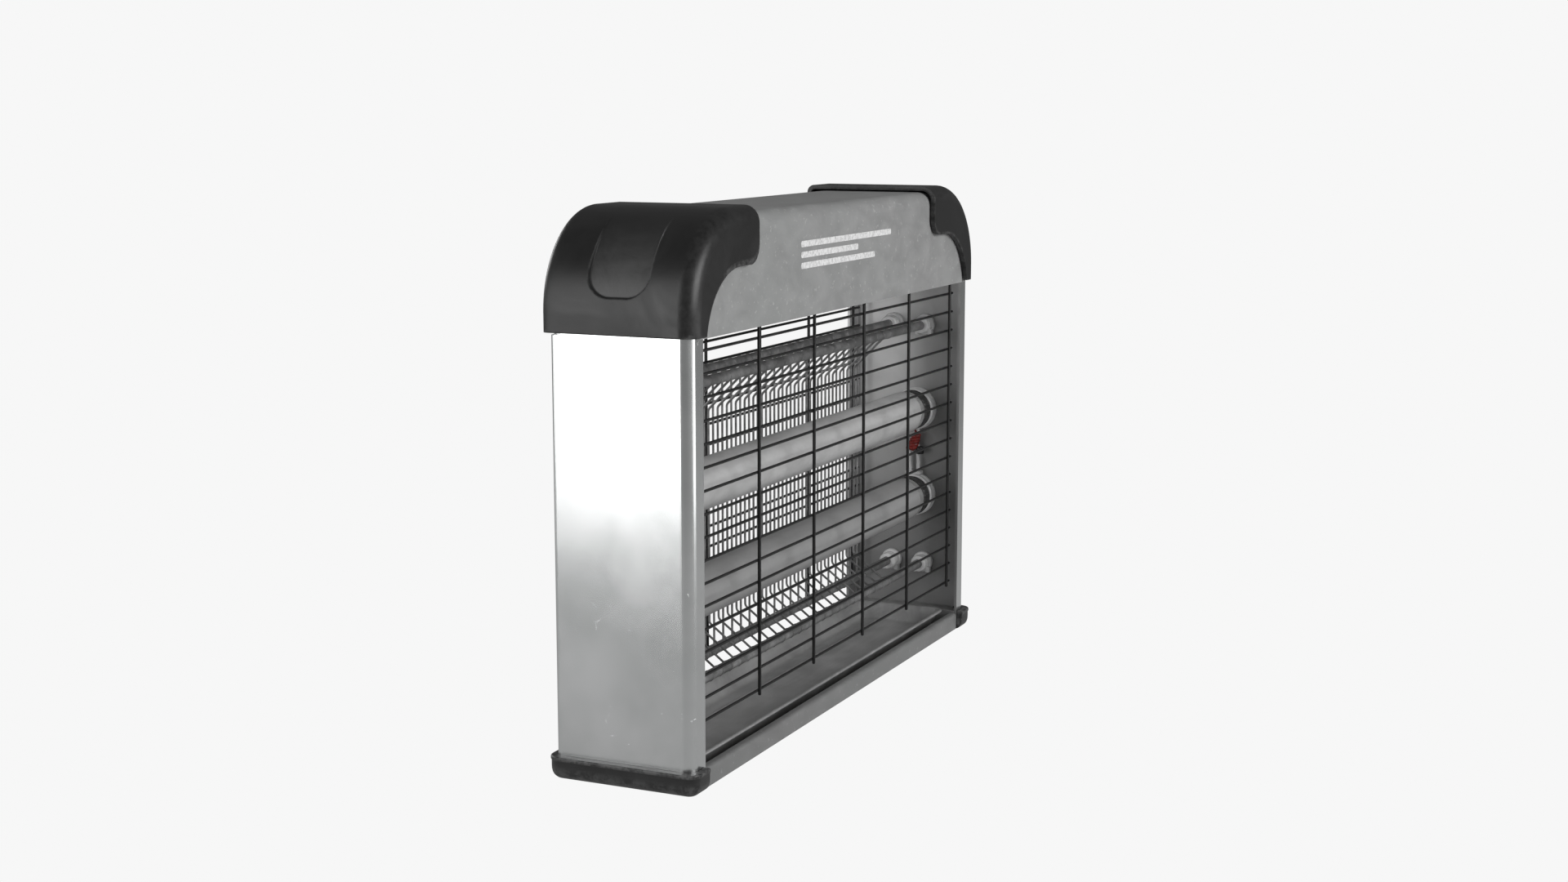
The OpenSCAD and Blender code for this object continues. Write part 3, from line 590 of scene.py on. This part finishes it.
def side_curve(cx, cz, edge_x, bottom, shares):
    """The cap's side edge in X and Z: up round the scoop, along and round the lobe's nose."""
    sx, sz = cx + SCOOP_AT[0], cz + SCOOP_AT[1]
    low = math.acos((bottom - sz) / SCOOP_R)
    arc = SCOOP_R * low
    flat = (edge_x - LOBE_R) - sx
    nose = LOBE_R * math.pi / 2
    out = []
    for share in shares:
        s = (arc + flat + nose) * share
        if s < arc:
            t = low - s / SCOOP_R
            out.append((sx - SCOOP_R * math.sin(t), sz + SCOOP_R * math.cos(t)))
        elif s < arc + flat:
            out.append((sx + s - arc, sz + SCOOP_R))
        else:
            t = (s - arc - flat) / LOBE_R
            out.append((edge_x - LOBE_R + LOBE_R * math.sin(t), sz + SCOOP_R + LOBE_R - LOBE_R * math.cos(t)))
    return out


def recess_share(y, p):
    """Depth share and groove share of the finger recess at y across the cap and p along its path."""
    corner = RECESS_BOTTOM + RECESS_CORNER - p
    over = abs(y) - (RECESS_HALF - RECESS_CORNER)
    if corner > 0 and over > 0:
        inside = RECESS_CORNER - math.hypot(corner, over)
    else:
        inside = min(RECESS_HALF - abs(y), p - RECESS_BOTTOM)
    fade = 1 - smoothstep(p, *RECESS_FADE)
    groove = max(0, 1 - abs(inside - GROOVE_AT) / GROOVE_HALF)
    return smoothstep(inside, *RECESS_SOFT) * fade, groove * fade


def cap_skin():
    """Outer skin of the left cap. Returns verts, faces, and the shares of painted light and of painted shade
    at each point.
    """
    lo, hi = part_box("end_cap_left")
    cx, cz = lo[0] + CAP_R, hi[2] - CAP_R
    half = hi[1]
    rise = cz - lo[2]
    quarter = CAP_R * math.pi / 2
    total = rise + quarter + hi[0] - cx

    def point(p, y, d):
        if p < rise:
            return Vector((cx - d, y, lo[2] + p))
        if p > rise + quarter:
            return Vector((cx + p - rise - quarter, y, cz + d))
        t = (p - rise) / CAP_R
        return Vector((cx - d * math.cos(t), y, cz + d * math.sin(t)))

    # The points lie close together across the recess and at its lower edge, and wide apart elsewhere
    radii = {-1: CAP_EDGE_R, 1: CAP_REAR_R}
    ys = set()
    for s, r in radii.items():
        flat = (half - r) / MM
        across = [*np.arange(0, 17.7, 0.44), *np.arange(18.4, flat - 0.5, 1.5), flat]
        ys |= {round(float(s * y), 2) * MM for y in across}
    ys = sorted(ys)
    along = [*np.arange(0, 16.5, 1.1), *np.arange(16.5, 31, 0.4),
             *np.arange(31, total / MM - 0.8, 1.2), total / MM]
    edge = side_curve(cx, cz, hi[0], lo[2], [p * MM / total for p in along])
    behind = [smoothstep(y, *GROOVE_TURN) for y in ys]
    plain = [0] * (WALL_STEPS + ROUND_STEPS)
    verts, painted_recess_light, painted_groove_shade = [], [], []
    for p, corner in zip(along, edge):
        p *= MM
        shares = [recess_share(y, p) for y in ys]
        top = [point(p, y, CAP_R - RECESS_DEPTH * depth) for y, (depth, groove) in zip(ys, shares)]
        sides = {}
        for s, r in radii.items():
            rounded = []
            for k in range(ROUND_STEPS):
                t = math.pi / 2 * k / ROUND_STEPS
                rounded.append(point(p, s * (half - r + r * math.cos(t)), CAP_R - r + r * math.sin(t)))
            start = Vector((corner[0], s * half, corner[1]))
            wall = [start.lerp(rounded[0], k / WALL_STEPS) for k in range(WALL_STEPS)]
            sides[s] = wall + rounded
        verts += sides[-1] + top + sides[1][::-1]
        # Painted light on the recess floor and along the groove in front; painted shade along the groove
        # behind
        lightened = [depth + GROOVE_HIGHLIGHT * groove * (1 - back) for (depth, groove), back in zip(shares, behind)]
        shade_in_groove = [groove * back for (depth, groove), back in zip(shares, behind)]
        painted_recess_light += plain + lightened + plain
        painted_groove_shade += plain + shade_in_groove + plain
    return verts, grid_faces(len(along), len(verts) // len(along)), painted_recess_light, painted_groove_shade


def drill(obj, cutters):
    """Cuts closed (verts, faces) out of obj."""
    for verts, faces in cutters:
        mesh = bpy.data.meshes.new("cutter")
        mesh.from_pydata([tuple(v) for v in verts], [], faces)
        tool = bmesh.new()
        tool.from_mesh(mesh)
        bmesh.ops.remove_doubles(tool, verts=tool.verts, dist=1e-7)
        bmesh.ops.recalc_face_normals(tool, faces=tool.faces)
        tool.to_mesh(mesh)
        tool.free()
        cutter = bpy.data.objects.new("cutter", mesh)
        bpy.context.scene.collection.objects.link(cutter)
        cut = obj.modifiers.new("cut", "BOOLEAN")
        cut.object = cutter
        cut.solver = "EXACT"
        set_mesh(obj)
        bpy.data.objects.remove(cutter)


def disc(at, radius, length):
    """A closed cylinder from at along Y."""
    return lathe([(0, 0), (0, radius), (length, radius), (length, 0)], at, "Y", 32)


def cap(side, mats):
    """End cap: the skin thickened inwards, its sharp edges broken, and sinks for the screw heads."""
    verts, faces, painted_recess_light, painted_groove_shade = cap_skin()
    if side == "right":
        verts, faces = mirrored((verts, faces))
    piece = new_piece("cap_shell_" + side, verts, faces, "root", mats["cap_plastic"], "cap_plastic")
    # The painted light and painted shade ride on the mesh as point attributes
    for name, shares in (("painted_recess_light", painted_recess_light), ("painted_groove_shade", painted_groove_shade)):
        piece.data.attributes.new(name, "FLOAT", "POINT").data.foreach_set("value", shares)
    turn_out(piece)
    wall = piece.modifiers.new("wall", "SOLIDIFY")
    wall.thickness = CAP_WALL
    wall.offset = -1
    wall.use_even_offset = True
    lip = piece.modifiers.new("lip", "BEVEL")
    lip.width = 0.5 * MM
    lip.segments = 2
    lip.limit_method = "ANGLE"
    lip.angle_limit = math.radians(60)
    set_mesh(piece)
    sinks = []
    lo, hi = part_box("cap_screws")
    s = -1 if side == "left" else 1
    for inset in SCREW_INSETS:
        at = (s * (hi[0] - inset), hi[1] - SCREW_SINK, (lo[2] + hi[2]) / 2)
        sinks.append(disc(at, SCREW_SINK_R, SCREW_CUT))
    drill(piece, sinks)
    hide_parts("end_cap_" + side)


def turn_out(obj):
    """Points an open skin's normals away from the body's middle."""
    mesh = obj.data
    total = sum((p.center - Vector((0, 0, 0.2))).dot(p.normal) * p.area for p in mesh.polygons)
    if total < 0:
        mesh.flip_normals()


# ---------------------------------------------------------------- feet

FOOT_R = 7 * MM
FOOT_INNER_R = 0.4 * MM
POCKET_R = 6.2 * MM
POCKET_GAP = 0.2 * MM
FOOT_STEPS = 9
# Height and inset of each ring of the foot, in millimetres
FOOT_RINGS = [(0, 5.0), (0.25, 4.0), (0.7, 3.1), (1.4, 2.2), (2.3, 1.4), (3.4, 0.85), (4.8, 0.5),
              (6.5, 0.4), (9.2, 0.4), (9.7, 0.25), (10.1, 0.0), (11.1, 0.0), (11.5, 0.12), (11.8, 0.5)]


def foot(side, mats):
    """Foot pad: a rounded sole, a slightly hollow wall and a bead round the top."""
    lo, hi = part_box("foot_left")
    verts = []
    for z, cut in FOOT_RINGS:
        cut *= MM
        outer = FOOT_R - cut
        ring = rounded_outline((lo[0] + cut, lo[1] + cut), (hi[0], hi[1] - cut),
                               (outer, FOOT_INNER_R, FOOT_INNER_R, outer), FOOT_STEPS)
        verts += [Vector((x, y, z * MM)) for x, y in ring]
    count = len(ring)
    faces = grid_faces(len(FOOT_RINGS), count, close_cols=True)
    faces.append(tuple(reversed(range(count))))
    faces.append(tuple(range(len(verts) - count, len(verts))))
    body = (verts, faces)
    a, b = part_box("end_profile_left")
    ring = rounded_outline((a[0] - POCKET_GAP, a[1] - POCKET_GAP), (hi[0] + 4 * MM, b[1] + POCKET_GAP),
                           (POCKET_R, FOOT_INNER_R, FOOT_INNER_R, POCKET_R), FOOT_STEPS)
    pocket = [Vector((x, y, z)) for z in (a[2], hi[2] + 2 * MM) for x, y in ring]
    n = len(ring)
    walls = grid_faces(2, n, close_cols=True) + [tuple(reversed(range(n))), tuple(range(n, 2 * n))]
    hollow = (pocket, walls)
    if side == "right":
        body, hollow = mirrored(body), mirrored(hollow)
    piece = new_piece("foot_pad_" + side, *body, "root", mats["foot_plastic"], "foot_plastic")
    drill(piece, [hollow])
    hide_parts("foot_" + side)


# ---------------------------------------------------------------- guards and grid

GUARD_TOP = 213 * MM
GUARD_PITCH = 11.4 * MM
GUARD_ROWS = 17
UPRIGHT_PITCH = 68.9 * MM
UPRIGHT_Y = 32.3 * MM
UPRIGHT_R = 0.9 * MM
LEVEL_Y = 31.2 * MM
LEVEL_R = 0.75 * MM
CROSSING_Y = 31.7 * MM
CROSSING = (1.15 * MM, 0.7 * MM, 1.0 * MM)

GRID_WIRES = 24
GRID_PITCH = 5.5 * MM
GRID_WIRE_R = 0.65 * MM
GRID_WELD = (1.0 * MM, 3.1 * MM, 3.1 * MM)
# Heights at which the front set's wires bend
GRID_BENDS = (170.5 * MM, 55.4 * MM)

# Side clips of an insulator: how far off its middle, half width, length, and drop to bottom and top
CLIP_OFF = 4.2 * MM
CLIP_HALF = 1.3 * MM
CLIP_LONG = 4.6 * MM
CLIP_DROPS = (6.4 * MM, 2.5 * MM)


def blob(at, size, steps=8, rings=5):
    """A small rounded lump."""
    points = [(size[0] * -math.cos(math.pi * k / rings), size[1] * math.sin(math.pi * k / rings))
              for k in range(rings + 1)]
    verts, faces = lathe(points, (0, 0, 0), "X", steps)
    flat = size[2] / size[1]
    return [Vector(at) + Vector((v[0], v[1], v[2] * flat)) for v in verts], faces


def rod(a, b, radius, steps=12, pieces=2):
    """A straight round wire whose ends are rounded over."""
    a, b = Vector(a), Vector(b)
    ahead = (b - a).normalized()
    path = [a, a + ahead * radius * 0.3, a + ahead * radius]
    radii = [radius * 0.45, radius * 0.85, radius]
    for k in range(1, pieces):
        path.append(a.lerp(b, k / pieces))
        radii.append(radius)
    path += [b - ahead * radius, b - ahead * radius * 0.3, b]
    radii += [radius, radius * 0.85, radius * 0.45]
    return tube(path, radii, steps)


def guard(side, mats):
    """Welded wire guard: uprights outside, level wires inside, a flattened weld at each crossing."""
    s = -1 if side == "front" else 1
    lo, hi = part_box("guard_" + side)
    y_upright, y_level = s * UPRIGHT_Y, s * LEVEL_Y
    parts = []
    xs = [i * UPRIGHT_PITCH for i in (-2.5, -1.5, -0.5, 0.5, 1.5, 2.5)]
    for x in xs:
        parts.append(rod((x, y_upright, lo[2]), (x, y_upright, hi[2]), UPRIGHT_R))
    for i in range(GUARD_ROWS):
        z = GUARD_TOP - i * GUARD_PITCH
        parts.append(rod((lo[0], y_level, z), (hi[0], y_level, z), LEVEL_R))
        for x in xs:
            parts.append(blob((x, s * CROSSING_Y, z), CROSSING))
    piece = new_piece("guard_wires_" + side, *joined(parts), "root", mats["guard_wire"], "guard_wire")
    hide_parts("guard_" + side)


def grid_x(i):
    """X of the grid wire i, counting the front and back sets' wires together."""
    return (i - GRID_WIRES + 0.5) * GRID_PITCH


def rail_centre(name):
    """Y and Z of a rail's middle."""
    lo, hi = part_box(name)
    return (lo[1] + hi[1]) / 2, (lo[2] + hi[2]) / 2


def charged_grid(mats):
    """The two sets of round wires, with their bends and the welds on the rails."""
    yf, zt = rail_centre("rail_front_top")
    _, zb = rail_centre("rail_front_bottom")
    yb, _ = rail_centre("rail_back_top")
    upper, lower = GRID_BENDS
    front, back = [], []
    for i in range(GRID_WIRES):
        x = grid_x(2 * i)
        path = round_path([(x, yf, zt), (x, yb, upper), (x, yb, lower), (x, yf, zb)], 3 * MM, 4)
        front.append(tube(path, GRID_WIRE_R, 8))
        front += [blob((x, yf, z), GRID_WELD, 12, 4) for z in (zt, zb)]
        x = grid_x(2 * i + 1)
        back.append(tube([(x, yb, zb), (x, yb, (zt + zb) / 2), (x, yb, zt)], GRID_WIRE_R, 8))
        back += [blob((x, yb, z), GRID_WELD, 12, 4) for z in (zt, zb)]
    for name, parts in (("front", front), ("back", back)):
        piece = new_piece("charged_wires_" + name, *joined(parts), "root", mats["grid_steel"], "grid_steel")
        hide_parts("grid_wires_" + name)


def insulators(side, mats):
    """Moulded stand-offs: a foot with two side clips, a ribbed body and a round nose."""
    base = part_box("insulators_left")[0][0]
    shape = [(0, 0), (0, 6.5), (1.9, 6.5), (2.5, 6.0), (2.7, 5.0), (3.6, 4.7), (4.4, 5.2), (5.4, 5.2),
             (5.8, 4.7), (6.6, 4.7), (7.0, 5.2), (8.9, 5.2), (9.7, 4.8), (10, 4.2), (10, 2.9),
             (5, 2.85), (5, 0)]
    parts = []
    for name in ("rail_front_top", "rail_back_top", "rail_front_bottom", "rail_back_bottom"):
        y, z = rail_centre(name)
        parts.append(lathe([(a * MM, b * MM) for a, b in shape], (base, y, z), "X", 36))
        for s in (-1, 1):
            middle = y + s * CLIP_OFF
            parts.append(block((base, middle - CLIP_HALF, z - CLIP_DROPS[0]),
                               (base + CLIP_LONG, middle + CLIP_HALF, z - CLIP_DROPS[1]), 0.5 * MM))
    whole = joined(parts)
    if side == "right":
        whole = mirrored(whole)
    piece = new_piece("stand_offs_" + side, *whole, "root", mats["ceramic"], "ceramic")
    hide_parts("insulators_" + side)


# ---------------------------------------------------------------- lamps and holders

# Radius and wall of the glass, in millimetres
GLASS_R = 13.0
GLASS_WALL = 0.8
LAMP_HALF = 172.5 * MM
HOLDER_FACE = -181.2 * MM
ROTOR_RIBS = 24


def lamp(level, mats):
    """One lamp: its glass, its two metal end caps and the rotors that turn with it."""
    body = level + "_lamp"
    lo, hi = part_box(body + "_glass")
    at = (0, (lo[1] + hi[1]) / 2, (lo[2] + hi[2]) / 2)
    half, r = hi[0] * 1000, GLASS_R
    outer = [(-half, r - 0.9), (-half + 0.5, r - 0.45), (-half + 1.6, r - 0.12), (-half + 3.5, r)]
    outer += [(x, r) for x in np.linspace(-half + 20, half - 20, 9)]
    outer += [(-x, y) for x, y in reversed(outer[:4])]
    inside = r - 0.9 - GLASS_WALL
    shape = outer + [(half, inside), (-half, inside), outer[0]]
    piece = new_piece(body + "_tube", *lathe([(a * MM, b * MM) for a, b in shape], at, "X", 64),
                      body, mats["lamp_glass"], "lamp_glass")
    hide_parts(body + "_glass")
    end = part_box(body + "_bases")[1][0] * 1000
    shape = [(end, 0), (end, 9.6), (end - 0.5, 10.6), (end - 1.3, 11.6), (end - 2.2, 12.3), (end - 3.0, 12.6),
             (end - 5.6, 12.65), (end - 5.9, 12.95), (end - 6.9, 13.0), (half, 12.9), (half, 0)]
    one = lathe([(a * MM, b * MM) for a, b in shape], at, "X", 56)
    piece = new_piece(body + "_end_caps", *joined([one, mirrored(one)]), body, mats["lamp_base"], "lamp_base")
    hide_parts(body + "_bases")
    lamp_rotors(level, at, mats)


def ribbed(shape, at, ribs, depth, steps):
    """A turned shape whose rim is scalloped by ribs round it; depth scales with each point's third value."""
    verts, faces = lathe([(a, b) for a, b, _ in shape], at, "X", steps)
    out = []
    for i, v in enumerate(verts):
        row = i // steps
        k = i % steps
        wave = 0.5 + 0.5 * math.cos(2 * math.pi * ribs * k / steps)
        r = shape[row][1]
        scale = 1 if r == 0 else (r - depth * wave * shape[row][2]) / r
        out.append(Vector((v[0], at[1] + (v[1] - at[1]) * scale, at[2] + (v[2] - at[2]) * scale)))
    return out, faces


def lamp_rotors(level, at, mats):
    """The ribbed rotors at both ends of a lamp."""
    body = level + "_lamp"
    a, b = LAMP_HALF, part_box(body + "_rotors")[1][0]
    shape = [(a, 0, 0), (a, 11.2 * MM, 0), (a + 0.5 * MM, 12.0 * MM, 0.3), (a + 1.2 * MM, 12.4 * MM, 1),
             (b - 2.6 * MM, 12.4 * MM, 1), (b - 2.3 * MM, 12.0 * MM, 0), (b - 1.6 * MM, 12.0 * MM, 0),
             (b - 1.3 * MM, 12.4 * MM, 0), (b - 0.4 * MM, 12.4 * MM, 0), (b, 12.0 * MM, 0),
             (b, 4.1 * MM, 0), (b - 6 * MM, 4.1 * MM, 0), (b - 6 * MM, 0, 0)]
    one = ribbed(shape, at, ROTOR_RIBS, 0.5 * MM, 6 * ROTOR_RIBS)
    piece = new_piece(body + "_twist_ends", *joined([one, mirrored(one)]), body,
                      mats["rotor_plastic"], "rotor_plastic")
    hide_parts(body + "_rotors")


def holder(level, side, mats):
    """Fixed half of a lamp holder: a stepped round body with a foot and its spigot."""
    node = f"holder_{level}_{side}"
    lo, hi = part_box("holder_" + level + "_left")
    at = (0, (lo[1] + hi[1]) / 2, (lo[2] + hi[2]) / 2)
    b, f, tip = lo[0] / MM, HOLDER_FACE / MM, hi[0] / MM
    shape = [(b, 0), (b, 13.4), (b + 1.4, 13.4), (b + 1.9, 13.0), (b + 2.2, 12.7), (f - 1.9, 12.7),
             (f - 1.5, 13.1), (f - 0.7, 13.1), (f - 0.2, 12.7), (f, 12.2), (f, 4.0), (tip - 0.5, 4.0),
             (tip, 3.5), (tip, 0)]
    one = lathe([(p * MM, q * MM) for p, q in shape], at, "X", 64)
    if side == "right":
        one = mirrored(one)
    piece = new_piece("lamp_" + node, *one, "root", mats["holder_plastic"], "holder_plastic")
    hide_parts(node)


COIL_TURNS = 5
TURN_STEPS = 14
COIL_TALL = 11.5 * MM
COIL_WIRE_R = 1.15 * MM
# How far the winding stands off its lead in X, and in Y at its foot and head
COIL_OFF = 1.2 * MM
LEAN_LOW = 1.6 * MM
LEAN_HIGH = 4.6 * MM


def link(mats):
    """The joint between the two right-hand holders: clip, leads, a wound choke and a sleeve."""
    lo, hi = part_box("link_leads")
    x = (hi[0] + lo[0]) / 2 - 0.5 * MM
    y_coil, y_boot = -2.4 * MM, -7.6 * MM
    coil_lo, coil_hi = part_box("link_choke")
    boot_lo, boot_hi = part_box("link_sleeve")
    clip_top = lo[2] + 2.4 * MM
    leads = [block(lo, (hi[0], hi[1], clip_top), 0.5 * MM)]
    for y, z0, z1, lean in ((y_coil, clip_top, coil_lo[2], 0.5), (y_boot, clip_top, boot_lo[2], -0.4),
                            (y_boot, boot_hi[2], hi[2], 0.6)):
        middle = (x, y + lean * MM, (z0 + z1) / 2)
        leads.append(tube(round_path([(x, y, z0 - 0.4 * MM), middle, (x, y, z1)], 6 * MM), 1.15 * MM, 12))
    piece = new_piece("link_wires", *joined(leads), "root", mats["white_lead"], "white_lead")
    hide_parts("link_leads")
    low, high = coil_lo[2], coil_lo[2] + COIL_TALL
    near = x - COIL_OFF
    path = []
    for k in range(COIL_TURNS * TURN_STEPS + 1):
        a = 2 * math.pi * k / TURN_STEPS
        share = k / (COIL_TURNS * TURN_STEPS)
        wide = (3.1 - 1.3 * share) * MM
        lean = LEAN_LOW + (LEAN_HIGH - LEAN_LOW) * share
        path.append((near + wide * math.cos(a), y_coil - lean + wide * math.sin(a),
                     low + 1.2 * MM + (high - low - 2.4 * MM) * share))
    core = rod((near, y_coil - LEAN_LOW, low), (near, y_coil - LEAN_HIGH, high), 2.0 * MM, 20, 4)
    bends = [(near, y_coil - LEAN_HIGH, high - 0.5 * MM), (x, y_coil - 3.4 * MM, high + 2 * MM),
             (x, y_coil, coil_hi[2])]
    stem = tube(round_path(bends, 2 * MM), 0.9 * MM, 10)
    parts = joined([tube(path, COIL_WIRE_R, 10), core, stem])
    piece = new_piece("link_coil", *parts, "root", mats["red_part"], "red_part")
    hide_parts("link_choke")
    tall = (boot_hi[2] - boot_lo[2]) / MM
    bead = [(0, 0), (0, 1.8), (0.4, 2.5), (1.2, 2.7), (tall - 1.2, 2.6), (tall - 0.4, 2.3), (tall, 1.6),
            (tall, 0)]
    at = (x - 0.8 * MM, y_boot - 1.6 * MM, boot_lo[2])
    shape = lathe([(a * MM, b * MM) for a, b in bead], at, "Z", 24)
    piece = new_piece("link_boot", *shape, "root", mats["black_part"], "black_part")
    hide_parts("link_sleeve")


# ---------------------------------------------------------------- tray and sills

def folded(path, t, x0, x1, bend):
    """Sheet of thickness t bent along a (Y, Z) path and running from x0 to x1."""
    line = round_path([(0, y, z) for y, z in path], bend, 5)
    sides = ([], [])
    for i, p in enumerate(line):
        ahead = (line[min(i + 1, len(line) - 1)] - line[max(i - 1, 0)]).normalized()
        out = Vector((0, -ahead[2], ahead[1])) * t / 2
        sides[0].append(p + out)
        sides[1].append(p - out)
    ring = sides[0] + sides[1][::-1]
    n = len(ring)
    verts = [Vector((x, v[1], v[2])) for x in (x0, x1) for v in ring]
    faces = grid_faces(2, n, close_cols=True)
    half = len(line)
    for end in (0, n):
        for i in range(half - 1):
            quad = (end + i, end + i + 1, end + n - 2 - i, end + n - 1 - i)
            faces.append(quad if end else tuple(reversed(quad)))
    return verts, faces


SILL_SHEET = 1.2 * MM
SILL_BEND = 1.6 * MM
TONGUE_HALF = 167 * MM


def sill_section(lo, hi, s):
    """Centre line of the folded sill whose outer face is on the side s of the body."""
    outer = s * max(abs(lo[1]), abs(hi[1])) - s * SILL_SHEET / 2
    top = hi[2] - SILL_SHEET / 2
    inner = outer - s * 3.5 * MM
    return [(outer, lo[2]), (outer, top), (inner, top)]


def front_strip(mats):
    """The tray's folded front strip, with the tongue that reaches under the pan."""
    lo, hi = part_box("tray_front_strip")
    section = sill_section(lo, (hi[0], lo[1], hi[2]), -1)
    face = folded(section, SILL_SHEET, lo[0], hi[0], SILL_BEND)
    tongue = block((-TONGUE_HALF, lo[1] + 0.4 * MM, 1.5 * MM), (TONGUE_HALF, hi[1], 2.7 * MM), 0.3 * MM)
    # Painted shade: the strip takes the darker copy of the hood paint
    piece = new_piece("tray_front", *joined([face, tongue]), "tray", mats["shaded_hood_paint"], "hood_paint")
    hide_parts("tray_front_strip")


def rear_sill(mats):
    """The folded strip across the bottom of the back."""
    lo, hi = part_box("back_sill")
    face = folded(sill_section(lo, hi, 1), SILL_SHEET, lo[0], hi[0], SILL_BEND)
    piece = new_piece("rear_sill_fold", *face, "root", mats["hood_paint"], "hood_paint")
    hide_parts("back_sill")


TRAY_SLOPE = 6.2 * MM
TRAY_SHEET = 0.8 * MM
CREASE_Y = 12 * MM


def tray(mats):
    """Pressed pan: sloping walls with round corners, a rolled rim and a crease along the floor."""
    lo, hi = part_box("tray_pan")
    top, floor = hi[2], lo[2]
    levels = []

    def level(z, grow, corner):
        levels.append([Vector((x, y, z)) for x, y in rounded_outline(
            (lo[0] - grow, lo[1] - grow), (hi[0] + grow, hi[1] + grow), (corner,) * 4, 6)])

    t = TRAY_SHEET
    inner = -1.4 * MM - TRAY_SLOPE
    level(floor, inner - 0.6 * MM, 3.0 * MM)
    level(floor + 0.25 * MM, inner, 3.4 * MM)
    level(floor + 1.2 * MM, inner + 0.9 * MM, 4 * MM)
    level(top - 2.0 * MM, -2.2 * MM, 6 * MM)
    level(top - 1.7 * MM, -0.9 * MM, 6.5 * MM)
    level(top - 1.5 * MM, -0.25 * MM, 7 * MM)
    level(top - 0.9 * MM, 0.0, 7 * MM)
    level(top - 0.35 * MM, -0.15 * MM, 7 * MM)
    level(top - 0.06 * MM, -0.7 * MM, 6.5 * MM)
    level(top, -1.2 * MM, 6.2 * MM)
    level(top - 0.3 * MM, -2.0 * MM, 5.6 * MM)
    level(top - 1.2 * MM, -2.7 * MM, 5.2 * MM)
    level(floor + 1.9 * MM, inner + 0.2 * MM, 3.4 * MM)
    level(floor + t + 0.3 * MM, inner - 0.9 * MM, 3.0 * MM)
    level(floor + t, inner - 2.2 * MM, 2.4 * MM)
    count = len(levels[0])
    verts = [v for ring in levels for v in ring]
    faces = grid_faces(len(levels), count, close_cols=True)
    faces.append(tuple(reversed(range(count))))
    faces.append(tuple(range(len(verts) - count, len(verts))))
    end = hi[0] + inner - 3 * MM
    crease = rod((-end, CREASE_Y, floor + t), (end, CREASE_Y, floor + t), 0.75 * MM, 12, 12)
    flat = [Vector((v[0], v[1], floor + t + (v[2] - floor - t) * 0.7)) for v in crease[0]]
    piece = new_piece("tray_pressing", *joined([(verts, faces), (flat, crease[1])]), "tray",
                      mats["tray_steel"], "tray_steel", 50)
    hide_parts("tray_pan")


# ---------------------------------------------------------------- back of the hood

# Y of the hood's back face, in millimetres
HOOD_BACK = 37.75


def gland(mats):
    """Cable gland: a thin sealing ring, a round collar and a domed nose with its hole."""
    lo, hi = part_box("cable_gland")
    at = ((lo[0] + hi[0]) / 2, 0, (lo[2] + hi[2]) / 2)
    a, b = HOOD_BACK, hi[1] / MM
    shape = [(a - 9, 3.6), (a - 9, 6.0), (a, 6.0), (a, 8.5), (a + 0.6, 8.5), (a + 0.9, 8.1), (a + 0.9, 7.6),
             (a + 2.1, 7.4), (a + 2.8, 6.6), (b - 0.1, 5.2), (b, 4.4), (b - 0.2, 3.8), (b - 0.8, 3.6),
             (a - 9, 3.6)]
    piece = new_piece("cable_entry", *lathe([(p * MM, q * MM) for p, q in shape], at, "Y", 48),
                      "root", mats["foot_plastic"], "foot_plastic", 30)
    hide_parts("cable_gland")


# Ends in X and height above the hood's lower edge of each bar, in millimetres
MARK_BARS = [(-64, 60, 36.2), (-64, 12, 30.6), (-64, 36, 25.0)]
MARK_BAR_H = 3.2


def hood_mark(mats):
    """A plain painted mark, three level bars, on the front of the hood."""
    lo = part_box("hood")[0]
    parts = []
    for x0, x1, z in MARK_BARS:
        ring = rounded_outline((x0, z), (x1, z + MARK_BAR_H), (1.2,) * 4, 4)
        verts = [Vector((x * MM, lo[1] + y * MM, lo[2] + h * MM))
                 for y in (0.2, -0.05, -0.12) for x, h in ring]
        n = len(ring)
        faces = grid_faces(3, n, close_cols=True) + [tuple(reversed(range(n))), tuple(range(2 * n, 3 * n))]
        parts.append((verts, faces))
    new_piece("hood_mark", *joined(parts), "root", mats["mark_paint"], "hood_paint")


def soften(name, width):
    """A fine bevel along a CAD node's sharp edges."""
    edge = NODES[name].modifiers.new("edge", "BEVEL")
    edge.width = width
    edge.segments = 2
    edge.limit_method = "ANGLE"
    edge.angle_limit = math.radians(40)


# ---------------------------------------------------------------- the scene

make_camera()
MATS = all_materials()
dress_cad_nodes(MATS)
for end in ("left", "right"):
    cap(end, MATS)
    foot(end, MATS)
    insulators(end, MATS)
    holder("upper", end, MATS)
    holder("lower", end, MATS)
for face in ("front", "back"):
    guard(face, MATS)
charged_grid(MATS)
for place in ("upper", "lower"):
    lamp(place, MATS)
link(MATS)
tray(MATS)
front_strip(MATS)
rear_sill(MATS)
gland(MATS)
hood_mark(MATS)
for part in ("switch_body", "switch_rocker"):
    soften(part, 0.4 * MM)
make_world()
make_floor()
area_light("end_card", (-0.95, 0.36, 0.40), (-0.19, 0.36, 0.40), (0.28, 0.82), 3.2)
area_light("rear_card", (-0.69, 0.69, 0.28), (-0.19, 0.04, 0.28), (0.60, 0.54), 1.2)
area_light("strip", (0.14, -0.61, 0.10), (-0.19, -0.03, 0.10), (0.38, 0.18), 0.45)
area_light("front", (-0.2, -1.8, 0.80), (0, 0, 0.15), (1.2, 0.8), 25)
area_light("back", (0.6, 2.2, 0.9), (0, 0, 0.15), (1.2, 0.8), 16)
